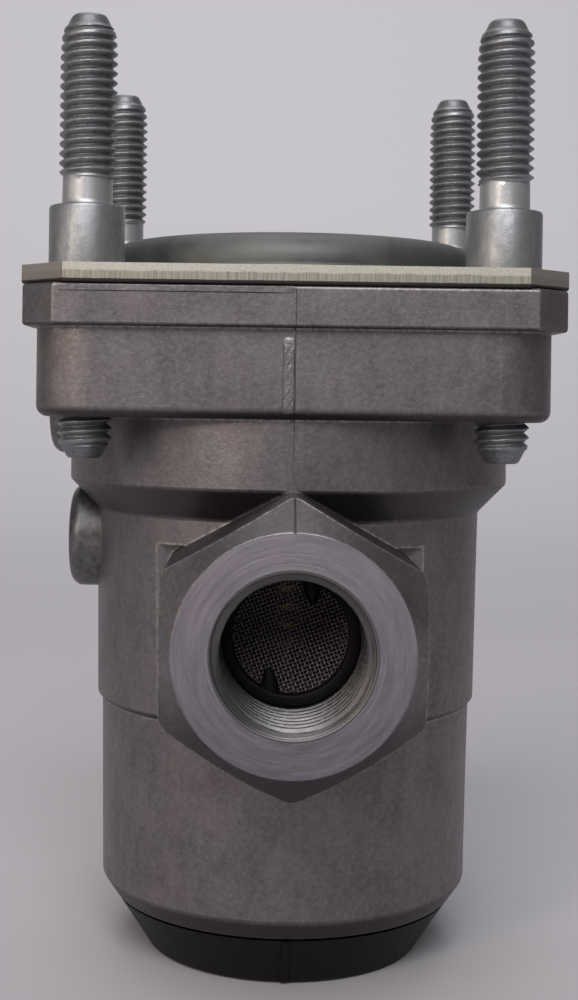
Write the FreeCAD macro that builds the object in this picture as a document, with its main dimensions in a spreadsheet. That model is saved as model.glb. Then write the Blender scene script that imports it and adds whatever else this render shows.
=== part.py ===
import FreeCAD, Part
import math
import os
import re

import Sketcher

# Pressure reducing valve for a compressed-air brake system. The valve axis is Z, the base of
# the exhaust cap lies on z = 0 and the supply port looks along -Y. All sizes are millimetres.

SIZES = {
    # Cast housing, outside, from the exhaust cap upwards
    "cap_height": 6.2,
    "rim_chamfer_height": 2.1,
    "lower_drum_height": 20.2,
    "drum_step_height": 0.6,
    "upper_drum_height": 21.4,
    "shoulder_height": 3.3,
    "neck_height": 7.4,
    "block_height": 9.3,
    "flange_height": 4.3,
    "rim_wall": 2.2,
    "rim_chamfer_width": 1.45,
    "drum_step_width": 0.55,
    "drum_draft": 0.3,
    "shoulder_width": 3.2,
    "neck_set_back": 1.4,
    "block_corner": 6.0,
    "block_round": 1.2,
    "rim_round": 0.5,
    "drum_round": 1.0,
    "step_round": 0.4,
    "shoulder_round": 0.6,
    "flange_lip": 1.1,
    "flange_chamfer": 3.5,
    "flange_round": 0.4,
    # Cast housing, inside, from the inlet seat outwards
    "seat_radius": 6.2,
    "seat_lip_width": 1.1,
    "seat_lip_height": 1.0,
    "chamber_room": 2.9,
    "chamber_height": 20.0,
    "seat_web": 7.0,
    "guide_ledge": 2.5,
    "guide_length": 16.25,
    "clip_land": 1.0,
    "clip_groove_depth": 0.6,
    "clip_groove_width": 1.25,
    "recess_ledge": 3.5,
    "recess_depth": 5.3,
    "snap_depth": 0.35,
    "snap_width": 1.0,
    "snap_rise": 1.6,
    "cap_flange_wall": 4.0,
    "cap_flange_width": 2.0,
    "cap_wall_offset": 2.0,
    # Ports
    "port_rise": 9.1,
    "port_reach": 37.3,
    "port_radius": 8.0,
    "port_rim_chamfer": 0.15,
    "port_rim_depth": 0.9,
    "port_depth": 11.8,
    "port_face_width": 3.64,
    "hexagon_shoulder": 1.31,
    "hexagon_cone_depth": 3.7,
    "hexagon_round": 1.5,
    "flat_depth": 5.3,
    "flat_height": 17.05,
    "strainer_seat_step": 0.4,
    "passage_step": 0.1,
    "delivery_end": 15.5,
    "riser_radius": 2.5,
    "riser_inset": 2.7,
    # Collar studs and clamp plate
    "stud_edge_distance": 6.25,
    "stud_radius": 3.0,
    "stud_tip_chamfer": 1.05,
    "stud_tip_height": 1.0,
    "stud_tail": 4.3,
    "stud_tail_radius": 2.84,
    "stud_neck_radius": 2.7,
    "stud_neck_height": 2.9,
    "stud_thread_height": 17.0,
    "collar_radius": 3.95,
    "collar_height": 6.3,
    "collar_chamfer": 0.35,
    "stud_hole_clearance": 0.3,
    "plate_overhang": 0.25,
    "plate_chamfer": 4.8,
    "plate_thickness": 2.0,
    "plate_round": 0.35,
    # Spring cap, spring seat and regulating spring
    "cap_foot_flare": 0.35,
    "cap_foot_height": 0.8,
    "cap_rise": 4.2,
    "cap_round": 3.0,
    "cap_sheet": 1.2,
    "cap_hole_clearance": 0.15,
    "breather_radius": 1.0,
    "seat_disc_margin": 1.6,
    "seat_disc_thickness": 1.2,
    "seat_disc_rim": 1.4,
    "spring_radius": 10.6,
    "spring_wire": 2.6,
    "spring_turns": 4.5,
    # Piston
    "valve_lift": 1.5,
    "stem_radius": 4.2,
    "stem_recess_radius": 3.3,
    "stem_recess_depth": 1.0,
    "piston_foot_height": 3.0,
    "piston_foot_radius": 1.4,
    "piston_foot_inset": 5.0,
    "piston_floor": 2.5,
    "piston_skirt_inset": 3.0,
    "piston_skirt_height": 5.5,
    "piston_crown_height": 6.5,
    "piston_cup_wall": 5.8,
    "guide_band_width": 1.2,
    "guide_band_depth": 1.0,
    "piston_land": 0.7,
    "seal_groove_width": 2.3,
    "seal_wire": 2.1,
    # Inlet valve and its guide
    "valve_bore_radius": 3.0,
    "valve_tube_radius": 4.8,
    "valve_head_lap": 2.4,
    "valve_head_height": 3.7,
    "valve_tail": 1.2,
    "rubber_inset": 0.5,
    "rubber_thickness": 2.0,
    "rubber_proud": 0.3,
    "return_spring_radius": 6.6,
    "return_spring_wire": 1.0,
    "return_spring_turns": 6.0,
    "guide_pocket_wall": 2.65,
    "guide_pocket_rim": 2.8,
    "guide_pocket_depth": 5.0,
    "guide_seal_drop": 7.6,
    "guide_seal_wire": 1.8,
    "tube_seal_drop": 4.0,
    "tube_seal_wire": 1.6,
    "clip_width": 2.2,
    "clip_thickness": 1.1,
    "clip_gap": 5.0,
    "clip_lug_radius": 1.7,
    "clip_lug_hole": 0.7,
    # Exhaust cap and its flap
    "cap_gap": 0.25,
    "cap_top_inset": 0.2,
    "cap_taper": 3.9,
    "cap_base_round": 1.2,
    "cap_base_wall": 3.0,
    "spigot_height": 3.2,
    "spigot_wall": 1.6,
    "floor_recess": 1.6,
    "floor_thickness": 1.6,
    "vent_radius": 1.6,
    "vent_lap": 1.8,
    "vent_count": 8,
    "rib_width": 0.8,
    "rib_proud": 0.3,
    "flap_room": 1.6,
    "flap_thickness": 0.7,
    "flap_stem_radius": 1.5,
    "flap_barb_radius": 2.4,
    "flap_barb_height": 1.4,
    # Strainer in the supply port
    "strainer_ring_width": 1.6,
    "strainer_ring_thickness": 1.5,
    "strainer_tab_width": 1.9,
    "strainer_tab_length": 2.5,
    "mesh_thickness": 0.3,
    "mesh_hole": 0.6,
    "mesh_pitch": 1.15,
    # Screw plugs on the left side
    "plug_radius": 5.92,
    "plug_edge_round": 1.4,
    "plug_thread_radius": 4.0,
    "plug_thread_length": 4.0,
    "plug_socket_flats": 5.0,
    "plug_socket_depth": 1.9,
    "plug_drilling_radius": 2.5,
    "spot_face_margin": 0.4,
    "washer_thickness": 1.0,
    "lower_plug_rise": 7.8,
    "lower_spot_depth": 2.0,
    "lower_plug_head": 4.0,
    "upper_plug_rise": 1.3,
    "upper_spot_depth": 1.0,
    "upper_plug_head": 2.25,
    # Clearances
    "slide_gap": 0.05,
    "seat_gap": 0.05,
    "seal_gap": 0.03,
}

# Radii that are worked out from the inlet seat outwards, and heights from the base upwards.
PLACES = {
    "valve_head_radius": "seat_radius + valve_head_lap",
    "rubber_radius": "valve_head_radius - rubber_inset",
    "chamber_radius": "valve_head_radius + chamber_room",
    "guide_bore_radius": "chamber_radius + guide_ledge",
    "guide_pocket_inner": "valve_tube_radius + slide_gap + guide_pocket_wall",
    "guide_pocket_outer": "guide_bore_radius - guide_pocket_rim",
    "clip_inner_radius": "guide_bore_radius + clip_groove_depth - clip_width",
    "recess_radius": "guide_bore_radius + recess_ledge",
    "spigot_radius": "recess_radius - seat_gap",
    "rim_radius": "recess_radius + rim_wall",
    "cap_top_radius": "rim_radius - cap_top_inset",
    "cap_base_radius": "cap_top_radius - cap_taper",
    "floor_recess_radius": "cap_base_radius - cap_base_wall",
    "flap_radius": "floor_recess_radius - flap_room",
    "vent_circle": "flap_radius - vent_lap - vent_radius",
    "drum_foot_radius": "rim_radius + rim_chamfer_width",
    "lower_drum_radius": "drum_foot_radius + drum_draft",
    "step_radius": "lower_drum_radius + drum_step_width",
    "upper_drum_radius": "step_radius + drum_draft",
    "neck_radius": "upper_drum_radius + shoulder_width",
    "block_side": "2 * (neck_radius + neck_set_back)",
    "flange_side": "block_side + 2 * flange_lip",
    "plate_side": "flange_side + 2 * plate_overhang",
    "stud_offset": "flange_side / 2 - stud_edge_distance",
    "stud_tip_radius": "stud_radius - stud_tip_chamfer",
    "cap_flange_radius": "flange_side / 2 - cap_flange_wall",
    "cap_wall_radius": "cap_flange_radius - cap_flange_width",
    "piston_bore_radius": "cap_wall_radius - cap_wall_offset",
    "piston_skirt_radius": "piston_bore_radius - piston_skirt_inset",
    "piston_foot_circle": "piston_skirt_radius - piston_foot_inset",
    "piston_cup_radius": "piston_bore_radius - piston_cup_wall",
    "riser_offset": "piston_bore_radius - riser_inset",
    "seat_disc_radius": "spring_radius + spring_wire / 2 + seat_disc_margin",
    "port_rim_radius": "port_radius + port_rim_chamfer",
    "port_face_radius": "port_radius + port_face_width",
    "hexagon_flats": "2 * (port_face_radius + hexagon_shoulder)",
    "flat_reach": "upper_drum_radius - flat_depth",
    "strainer_seat_radius": "port_radius - strainer_seat_step",
    "strainer_ring_inner": "strainer_seat_radius - strainer_ring_width",
    "passage_radius": "strainer_ring_inner - passage_step",
    "spot_face_radius": "plug_radius + spot_face_margin",
    "lower_plug_seat": "upper_drum_radius - lower_spot_depth",
    "upper_plug_seat": "neck_radius - upper_spot_depth",
    "rim_z": "cap_height",
    "drum_z": "rim_z + rim_chamfer_height",
    "step_z": "drum_z + lower_drum_height",
    "shoulder_z": "step_z + drum_step_height + upper_drum_height",
    "neck_z": "shoulder_z + shoulder_height",
    "block_z": "neck_z + neck_height",
    "flange_z": "block_z + block_height",
    "flange_top_z": "flange_z + flange_height",
    "plate_top_z": "flange_top_z + plate_thickness",
    "collar_top_z": "plate_top_z + collar_height",
    "stud_neck_top_z": "collar_top_z + stud_neck_height",
    "stud_top_z": "stud_neck_top_z + stud_thread_height",
    "recess_z": "rim_z + recess_depth",
    "clip_z": "recess_z + clip_land",
    "guide_z": "clip_z + clip_groove_width",
    "chamber_z": "guide_z + guide_length",
    "chamber_top_z": "chamber_z + chamber_height",
    "seat_z": "chamber_top_z - seat_lip_height",
    "bore_floor_z": "chamber_top_z + seat_web",
    "cap_seat_z": "flange_top_z - cap_sheet",
    "port_z": "chamber_z + port_rise",
    "cap_top_z": "plate_top_z + cap_rise",
    "seat_disc_z": "cap_top_z - cap_sheet - seat_disc_thickness",
    "rubber_top_z": "seat_z - valve_lift",
    "head_top_z": "rubber_top_z - rubber_proud",
    "head_z": "head_top_z - valve_head_height",
    "piston_z": "bore_floor_z + piston_foot_height",
    "piston_floor_z": "piston_z + piston_floor",
    "crown_z": "piston_z + piston_skirt_height",
    "piston_top_z": "crown_z + piston_crown_height",
    "band_z": "crown_z + piston_land",
    "seal_z": "band_z + guide_band_width + piston_land",
    "guide_seal_z": "chamber_z - guide_seal_drop",
    "tube_seal_z": "chamber_z - tube_seal_drop",
    "cap_edge_z": "rim_z - cap_gap",
    "snap_z": "rim_z + snap_rise",
    "strainer_back": "port_reach - port_depth - strainer_ring_thickness - mesh_thickness",
    "lower_plug_z": "port_z + lower_plug_rise",
    "upper_plug_z": "block_z + upper_plug_rise",
}

STUDS = {
    "front_left": ("-stud_offset", "-stud_offset"),
    "front_right": ("stud_offset", "-stud_offset"),
    "back_left": ("-stud_offset", "stud_offset"),
    "back_right": ("stud_offset", "stud_offset"),
}

UPRIGHT = FreeCAD.Rotation()
TO_FRONT = FreeCAD.Rotation(FreeCAD.Vector(1, 0, 0), 90)
TO_BACK = FreeCAD.Rotation(FreeCAD.Vector(1, 0, 0), -90)
TO_LEFT = FreeCAD.Rotation(FreeCAD.Vector(0, 1, 0), -90)

# Where an outline's corners lie until its measures pull them into place.
DRAWING_START = FreeCAD.Vector(20, 20, 0)
EDGE_TOLERANCE = 1e-4

doc = FreeCAD.newDocument("pressure_reducing_valve")
sheet = doc.addObject("Spreadsheet::Sheet", "sizes")
for row, (alias, size) in enumerate(SIZES.items(), start=1):
    sheet.set(f"A{row}", alias.replace("_", " "))
    sheet.set(f"B{row}", str(size))
    sheet.setAlias(f"B{row}", alias)
doc.recompute()


def bind(text):
    """Spells out the worked-out names and points every named size at its cell."""
    def cell(match):
        word = match.group(0)
        if word in PLACES:
            return "(" + bind(PLACES[word]) + ")"
        return "sizes." + word if word in SIZES else word
    return re.sub(r"[a-z][a-z_]*", cell, text)


def place(item, at=("0", "0", "0"), turn=UPRIGHT):
    """Turns an object and ties its position to the sheet."""
    item.Placement = FreeCAD.Placement(FreeCAD.Vector(), turn)
    for axis, distance in zip("xyz", at):
        if distance != "0":
            item.setExpression(f"Placement.Base.{axis}", bind(distance))
    return item


def primitive(kind, label, sizes, at=("0", "0", "0"), turn=UPRIGHT):
    """A Part primitive whose named properties follow the sheet."""
    item = doc.addObject(kind, label)
    for name, size in sizes.items():
        item.setExpression(name, bind(size))
    return place(item, at, turn)


def cylinder(label, radius, length, at=("0", "0", "0"), turn=UPRIGHT):
    return primitive("Part::Cylinder", label, {"Radius": radius, "Height": length}, at, turn)


def fuse(label, items):
    item = doc.addObject("Part::MultiFuse", label)
    item.Shapes = items
    item.Refine = True
    return item


def cut(label, base, tools):
    item = doc.addObject("Part::Cut", label)
    item.Base = base
    item.Tool = tools[0] if len(tools) == 1 else fuse(label + "_cuts", tools)
    item.Refine = True
    return item


def common(label, items):
    item = doc.addObject("Part::MultiCommon", label)
    item.Shapes = items
    return item


def sketch_on(body, role):
    """An empty sketch on one of the body's own planes."""
    plane = next(plane for plane in body.Origin.OriginFeatures if plane.Role == role)
    sketch = body.newObject("Sketcher::SketchObject", body.Name + "_sketch")
    sketch.AttachmentSupport = [(plane, "")]
    sketch.MapMode = "FlatFace"
    return sketch


def draw(sketch, corners):
    """A closed outline of straight lines, with each corner held by two measures."""
    count = len(corners)
    start = [FreeCAD.Vector(math.cos(turn), math.sin(turn), 0) + DRAWING_START
             for turn in (2 * math.pi * step / count for step in range(count))]
    for step in range(count):
        sketch.addGeometry(Part.LineSegment(start[step], start[(step + 1) % count]))
    for step in range(count):
        sketch.addConstraint(Sketcher.Constraint("Coincident", step, 2, (step + 1) % count, 1))
    for step, corner in enumerate(corners):
        for kind, name, distance in zip(("DistanceX", "DistanceY"), ("across", "up"), corner):
            if distance == "0":
                axis = -2 if kind == "DistanceX" else -1
                sketch.addConstraint(Sketcher.Constraint("PointOnObject", step, 1, axis))
                continue
            index = sketch.addConstraint(Sketcher.Constraint(kind, step, 1, 1.0))
            sketch.renameConstraint(index, f"{name}{step}")
            sketch.setExpression(f"Constraints.{name}{step}", bind(distance))


def edges_where(feature, test):
    return [f"Edge{number}" for number, edge in enumerate(feature.Shape.Edges, start=1)
            if test(edge)]


def upright(edge):
    return edge.BoundBox.ZLength > EDGE_TOLERANCE


def level(edge):
    return edge.BoundBox.ZLength < EDGE_TOLERANCE


def bottom(edge):
    return edge.BoundBox.ZMax < EDGE_TOLERANCE


def finish_edges(body, base, kind, names, size):
    """A fillet or a chamfer on the named edges, as the body's next feature."""
    feature = body.newObject(kind, body.Name + "_edges")
    feature.Base = (base, names)
    feature.setExpression("Radius" if kind.endswith("Fillet") else "Size", bind(size))
    doc.recompute()
    return feature


def turned(label, corners, rounds=(), at=("0", "0", "0"), turn=UPRIGHT):
    """A turned solid: corners are (radius, height), rounds are (corner number, fillet size)."""
    body = doc.addObject("PartDesign::Body", label)
    sketch = sketch_on(body, "XZ_Plane")
    draw(sketch, corners)
    feature = body.newObject("PartDesign::Revolution", label + "_turning")
    feature.Profile = sketch
    feature.ReferenceAxis = (sketch, ["V_Axis"])
    feature.Angle = 360
    doc.recompute()
    for corner, size in rounds:
        spot = sketch.getPoint(corner, 1)
        names = edges_where(feature, lambda edge: isinstance(edge.Curve, Part.Circle)
                            and abs(edge.Curve.Radius - spot.x) < EDGE_TOLERANCE
                            and abs(edge.Curve.Center.z - spot.y) < EDGE_TOLERANCE)
        feature = finish_edges(body, feature, "PartDesign::Fillet", names, size)
    return place(body, at, turn)


def prism(label, corners, height, finishes, at, turn=UPRIGHT):
    """An upright prism on a closed outline. finishes are (kind, which edges, size) in order."""
    body = doc.addObject("PartDesign::Body", label)
    sketch = sketch_on(body, "XY_Plane")
    draw(sketch, corners)
    feature = body.newObject("PartDesign::Pad", label + "_pad")
    feature.Profile = sketch
    feature.setExpression("Length", bind(height))
    doc.recompute()
    for kind, which, size in finishes:
        feature = finish_edges(body, feature, kind, edges_where(feature, which), size)
    return place(body, at, turn)


def square(side):
    half = f"{side} / 2"
    return [(f"-{half}", f"-{half}"), (half, f"-{half}"), (half, half), (f"-{half}", half)]


def ring(label, radius, wire, height):
    """A round sealing ring: mean radius, section diameter and height of its middle."""
    sizes = {"Radius1": radius, "Radius2": f"({wire}) / 2"}
    return primitive("Part::Torus", label, sizes, ("0", "0", height))


def coil(label, radius, wire, turns, low, high):
    """A compression spring of round wire that fills the height between two seats."""
    path = primitive("Part::Helix", label + "_path", {
        "Radius": radius,
        "Height": f"({high}) - ({low}) - {wire}",
        "Pitch": f"(({high}) - ({low}) - {wire}) / {turns}",
    })
    section = primitive("Part::Circle", label + "_section", {"Radius": f"{wire} / 2"},
                        (radius, "0", "0"), TO_FRONT)
    spring = doc.addObject("Part::Sweep", label)
    spring.Sections = [section]
    spring.Spine = (path, ["Edge1"])
    spring.Solid = True
    spring.Frenet = True
    return place(spring, ("0", "0", f"{low} + {wire} / 2"))


# Housing: one die casting with its machined bores, faces and threaded holes.

def housing_outside():
    drum = turned("drum", [
        ("0", "rim_z"), ("rim_radius", "rim_z"), ("drum_foot_radius", "drum_z"),
        ("lower_drum_radius", "step_z"), ("step_radius", "step_z + drum_step_height"),
        ("upper_drum_radius", "shoulder_z"), ("neck_radius", "neck_z"),
        ("neck_radius", "block_z + block_height / 2"), ("0", "block_z + block_height / 2"),
    ], rounds=[(1, "rim_round"), (2, "drum_round"), (4, "step_round"),
               (5, "shoulder_round"), (6, "shoulder_round")])
    block = prism("block", square("block_side"), "block_height", [
        ("PartDesign::Fillet", upright, "block_corner"),
        ("PartDesign::Fillet", bottom, "block_round"),
    ], ("0", "0", "block_z"))
    flange = prism("flange", square("flange_side"), "flange_height", [
        ("PartDesign::Chamfer", upright, "flange_chamfer"),
        ("PartDesign::Fillet", upright, "flange_round"),
        ("PartDesign::Fillet", level, "flange_round"),
    ], ("0", "0", "flange_z"))
    return drum, block, flange


def port_boss(side, turn):
    """Hexagon boss with a coned nose and a turned front face, on a flat in the drum."""
    sign = "-1" if side == "supply" else "1"
    half, corner = "hexagon_flats / 2", "hexagon_flats / sqrt(3)"
    outline = [("0", corner), (f"-{half}", f"{corner} / 2"), (f"-{half}", f"-{corner} / 2"),
               ("0", f"-{corner}"), (half, f"-{corner} / 2"), (half, f"{corner} / 2")]
    hexagon = prism(side + "_hexagon", outline, "port_reach - chamber_radius", [
        ("PartDesign::Fillet", upright, "hexagon_round"),
    ], ("0", f"{sign} * chamber_radius", "port_z"), turn)
    cone = primitive("Part::Cone", side + "_cone", {
        "Radius1": "port_face_radius + (hexagon_flats / sqrt(3) - port_face_radius)"
                   " / hexagon_cone_depth * (port_reach - chamber_radius)",
        "Radius2": "port_face_radius",
        "Height": "port_reach - chamber_radius",
    }, ("0", f"{sign} * chamber_radius", "port_z"), turn)
    return common(side + "_boss", [hexagon, cone])


def port_flat(side):
    """The flat across the drum that the hexagon stands on."""
    sign = "-1" if side == "supply" else "1"
    span = "(upper_drum_radius - flat_reach + 1)"
    middle = f"{sign} * (flat_reach + {span} / 2) - {span} / 2"
    return primitive("Part::Box", side + "_flat", {
        "Length": "2 * upper_drum_radius",
        "Width": span,
        "Height": "flat_height",
    }, ("-upper_drum_radius", middle, "port_z - flat_height / 2"))


def housing():
    drum, block, flange = housing_outside()
    sides = {"supply": TO_FRONT, "delivery": TO_BACK}
    drum_with_flats = cut("drum_with_flats", drum, [port_flat(side) for side in sides])
    bosses = [port_boss(side, turn) for side, turn in sides.items()]
    casting = fuse("casting", [drum_with_flats, block, flange] + bosses)

    hollow = turned("hollow", [
        ("0", "rim_z - 1"), ("recess_radius", "rim_z - 1"), ("recess_radius", "snap_z"),
        ("recess_radius + snap_depth", "snap_z"),
        ("recess_radius + snap_depth", "snap_z + snap_width"),
        ("recess_radius", "snap_z + snap_width"), ("recess_radius", "recess_z"),
        ("guide_bore_radius", "recess_z"), ("guide_bore_radius", "clip_z"),
        ("guide_bore_radius + clip_groove_depth", "clip_z"),
        ("guide_bore_radius + clip_groove_depth", "guide_z"), ("guide_bore_radius", "guide_z"),
        ("guide_bore_radius", "chamber_z"), ("chamber_radius", "chamber_z"),
        ("chamber_radius", "chamber_top_z"), ("seat_radius + seat_lip_width", "chamber_top_z"),
        ("seat_radius + seat_lip_width", "seat_z"), ("seat_radius", "seat_z"),
        ("seat_radius", "bore_floor_z"), ("piston_bore_radius", "bore_floor_z"),
        ("piston_bore_radius", "cap_seat_z"), ("cap_flange_radius + seat_gap", "cap_seat_z"),
        ("cap_flange_radius + seat_gap", "flange_top_z + 1"), ("0", "flange_top_z + 1"),
    ])
    supply = turned("supply_bore", [
        ("0", "chamber_radius - 2"), ("passage_radius", "chamber_radius - 2"),
        ("passage_radius", "strainer_back"), ("strainer_seat_radius", "strainer_back"),
        ("strainer_seat_radius", "port_reach - port_depth"),
        ("port_radius", "port_reach - port_depth"),
        ("port_radius", "port_reach - port_rim_depth"),
        ("port_rim_radius", "port_reach - port_rim_depth"),
        ("port_rim_radius", "port_reach + 1"), ("0", "port_reach + 1"),
    ], at=("0", "0", "port_z"), turn=TO_FRONT)
    delivery = turned("delivery_bore", [
        ("0", "delivery_end"), ("passage_radius", "delivery_end"),
        ("passage_radius", "port_reach - port_depth"),
        ("port_radius", "port_reach - port_depth"),
        ("port_radius", "port_reach - port_rim_depth"),
        ("port_rim_radius", "port_reach - port_rim_depth"),
        ("port_rim_radius", "port_reach + 1"), ("0", "port_reach + 1"),
    ], at=("0", "0", "port_z"), turn=TO_BACK)
    riser = cylinder("riser", "riser_radius", "bore_floor_z - port_z + 1",
                     ("0", "riser_offset", "port_z"))
    plug_holes = [plug_hole(level) for level in ("lower", "upper")]
    stud_holes = [cylinder(f"stud_hole_{name}", "stud_tail_radius + seat_gap / 2",
                           "flange_top_z - block_z + 2", (across, depth, "block_z - 1"))
                  for name, (across, depth) in STUDS.items()]
    return cut("housing", casting, [hollow, supply, delivery, riser] + plug_holes + stud_holes)


def plug_hole(level):
    """Spot face, threaded hole and drilling for a screw plug in the left side."""
    seat = f"{level}_plug_seat"
    end = "chamber_radius - 1" if level == "lower" else "piston_bore_radius - 1"
    return turned(f"{level}_plug_hole", [
        ("0", end), ("plug_drilling_radius", end),
        ("plug_drilling_radius", f"{seat} - plug_thread_length"),
        ("plug_thread_radius + seat_gap / 2", f"{seat} - plug_thread_length"),
        ("plug_thread_radius + seat_gap / 2", seat), ("spot_face_radius", seat),
        ("spot_face_radius", "neck_radius + 3"), ("0", "neck_radius + 3"),
    ], at=("0", "0", f"{level}_plug_z"), turn=TO_LEFT)


# Top: clamp plate, collar studs and pressed spring cap.

def clamp_plate():
    sheet_blank = prism("plate_blank", square("plate_side"), "plate_thickness", [
        ("PartDesign::Chamfer", upright, "plate_chamfer"),
        ("PartDesign::Fillet", bottom, "plate_round"),
    ], ("0", "0", "flange_top_z"))
    window = cylinder("plate_window", "cap_wall_radius + cap_foot_flare + cap_hole_clearance",
                      "plate_thickness + 2", ("0", "0", "flange_top_z - 1"))
    holes = [cylinder(f"plate_hole_{name}", "stud_radius + stud_hole_clearance",
                      "plate_thickness + 2", (across, depth, "flange_top_z - 1"))
             for name, (across, depth) in STUDS.items()]
    return cut("clamp_plate", sheet_blank, [window] + holes)


def stud(name):
    """A collar stud: screwed into the flange, collar on the plate, bare thread on top."""
    tail_z = "block_z - stud_tail"
    return turned("stud_" + name, [
        ("0", tail_z), ("stud_tail_radius - stud_tip_chamfer", tail_z),
        ("stud_tail_radius", f"{tail_z} + stud_tip_height"), ("stud_tail_radius", "plate_top_z"),
        ("collar_radius", "plate_top_z"),
        ("collar_radius", "collar_top_z - collar_chamfer"),
        ("collar_radius - collar_chamfer", "collar_top_z"), ("stud_neck_radius", "collar_top_z"),
        ("stud_neck_radius", "stud_neck_top_z - stud_radius + stud_neck_radius"),
        ("stud_radius", "stud_neck_top_z"), ("stud_radius", "stud_top_z - stud_tip_height"),
        ("stud_tip_radius", "stud_top_z"), ("0", "stud_top_z"),
    ], at=STUDS[name] + ("0",))


def spring_cap():
    inner = "cap_wall_radius - cap_sheet"
    shell = turned("spring_cap_shell", [
        (inner, "cap_seat_z"), ("cap_flange_radius", "cap_seat_z"),
        ("cap_flange_radius", "flange_top_z"),
        ("cap_wall_radius + cap_foot_flare", "flange_top_z"),
        ("cap_wall_radius + cap_foot_flare", "plate_top_z + cap_foot_height / 4"),
        ("cap_wall_radius", "plate_top_z + cap_foot_height"), ("cap_wall_radius", "cap_top_z"),
        ("0", "cap_top_z"), ("0", "cap_top_z - cap_sheet"), (inner, "cap_top_z - cap_sheet"),
    ], rounds=[(6, "cap_round"), (9, "cap_round - cap_sheet")])
    breather = cylinder("breather", "breather_radius", "cap_sheet + 2",
                        ("0", "0", "cap_top_z - cap_sheet - 1"))
    return cut("spring_cap", shell, [breather])


def spring_seat():
    locating = "spring_radius - spring_wire / 2 - seat_gap"
    return turned("spring_seat", [
        ("0", "seat_disc_z"), (f"{locating} - cap_sheet", "seat_disc_z"),
        (f"{locating} - cap_sheet", "seat_disc_z - seat_disc_rim"),
        (locating, "seat_disc_z - seat_disc_rim"), (locating, "seat_disc_z"),
        ("seat_disc_radius", "seat_disc_z"),
        ("seat_disc_radius", "seat_disc_z + seat_disc_thickness"),
        ("0", "seat_disc_z + seat_disc_thickness"),
    ])


# Piston with its two rings: the regulating spring holds it down on its feet.

def piston():
    crown = "piston_bore_radius - slide_gap"
    cup = turned("piston_cup", [
        ("0", "rubber_top_z + stem_recess_depth"),
        ("stem_recess_radius", "rubber_top_z + stem_recess_depth"),
        ("stem_recess_radius", "rubber_top_z"), ("stem_radius", "rubber_top_z"),
        ("stem_radius", "piston_z"), ("piston_skirt_radius", "piston_z"),
        ("piston_skirt_radius", "crown_z"), (crown, "crown_z"), (crown, "band_z"),
        (f"{crown} - guide_band_depth", "band_z"),
        (f"{crown} - guide_band_depth", "band_z + guide_band_width"),
        (crown, "band_z + guide_band_width"), (crown, "seal_z"),
        ("piston_bore_radius - seal_wire", "seal_z"),
        ("piston_bore_radius - seal_wire", "seal_z + seal_groove_width"),
        (crown, "seal_z + seal_groove_width"), (crown, "piston_top_z"),
        ("piston_cup_radius", "piston_top_z"), ("piston_cup_radius", "piston_floor_z"),
        ("0", "piston_floor_z"),
    ])
    feet = []
    for number, angle in enumerate((0, 120, 240)):
        feet.append(cylinder(f"piston_foot_{number}", "piston_foot_radius",
                             "piston_foot_height + piston_floor / 2",
                             (f"piston_foot_circle * {math.cos(math.radians(angle)):.6f}",
                              f"piston_foot_circle * {math.sin(math.radians(angle)):.6f}",
                              "bore_floor_z")))
    return fuse("piston", [cup] + feet)


def piston_guide_ring():
    inner = "piston_bore_radius - slide_gap - guide_band_depth + seat_gap / 2"
    outer = "piston_bore_radius - seal_gap"
    low = "band_z + seat_gap / 2"
    high = "band_z + guide_band_width - seat_gap / 2"
    return turned("piston_guide_ring", [(inner, low), (outer, low), (outer, high), (inner, high)])


# Inlet valve: a tube with a rubber face, pushed up by its spring and guided below.

def valve_body():
    bottom = "guide_z - valve_tail"
    return turned("valve_body", [
        ("valve_bore_radius", bottom), ("valve_tube_radius", bottom),
        ("valve_tube_radius", "head_z"), ("valve_head_radius", "head_z"),
        ("valve_head_radius", "head_top_z"), ("rubber_radius + seat_gap / 2", "head_top_z"),
        ("rubber_radius + seat_gap / 2", "rubber_top_z - rubber_thickness"),
        ("valve_bore_radius", "rubber_top_z - rubber_thickness"),
    ])


def valve_rubber():
    low = "rubber_top_z - rubber_thickness"
    return turned("valve_rubber", [
        ("valve_bore_radius", low), ("rubber_radius", low), ("rubber_radius", "rubber_top_z"),
        ("valve_bore_radius", "rubber_top_z"),
    ])


def valve_guide():
    bore = "valve_tube_radius + slide_gap"
    outer = "guide_bore_radius - seat_gap"
    return turned("valve_guide", [
        (bore, "guide_z"), ("guide_pocket_inner", "guide_z"),
        ("guide_pocket_inner", "guide_z + guide_pocket_depth"),
        ("guide_pocket_outer", "guide_z + guide_pocket_depth"),
        ("guide_pocket_outer", "guide_z"), (outer, "guide_z"),
        (outer, "guide_seal_z - guide_seal_wire * 0.6"),
        ("guide_bore_radius - guide_seal_wire", "guide_seal_z - guide_seal_wire * 0.6"),
        ("guide_bore_radius - guide_seal_wire", "guide_seal_z + guide_seal_wire * 0.6"),
        (outer, "guide_seal_z + guide_seal_wire * 0.6"), (outer, "chamber_z"),
        (bore, "chamber_z"), (bore, "tube_seal_z + tube_seal_wire * 0.6"),
        ("valve_tube_radius + tube_seal_wire", "tube_seal_z + tube_seal_wire * 0.6"),
        ("valve_tube_radius + tube_seal_wire", "tube_seal_z - tube_seal_wire * 0.6"),
        (bore, "tube_seal_z - tube_seal_wire * 0.6"),
    ])


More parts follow.
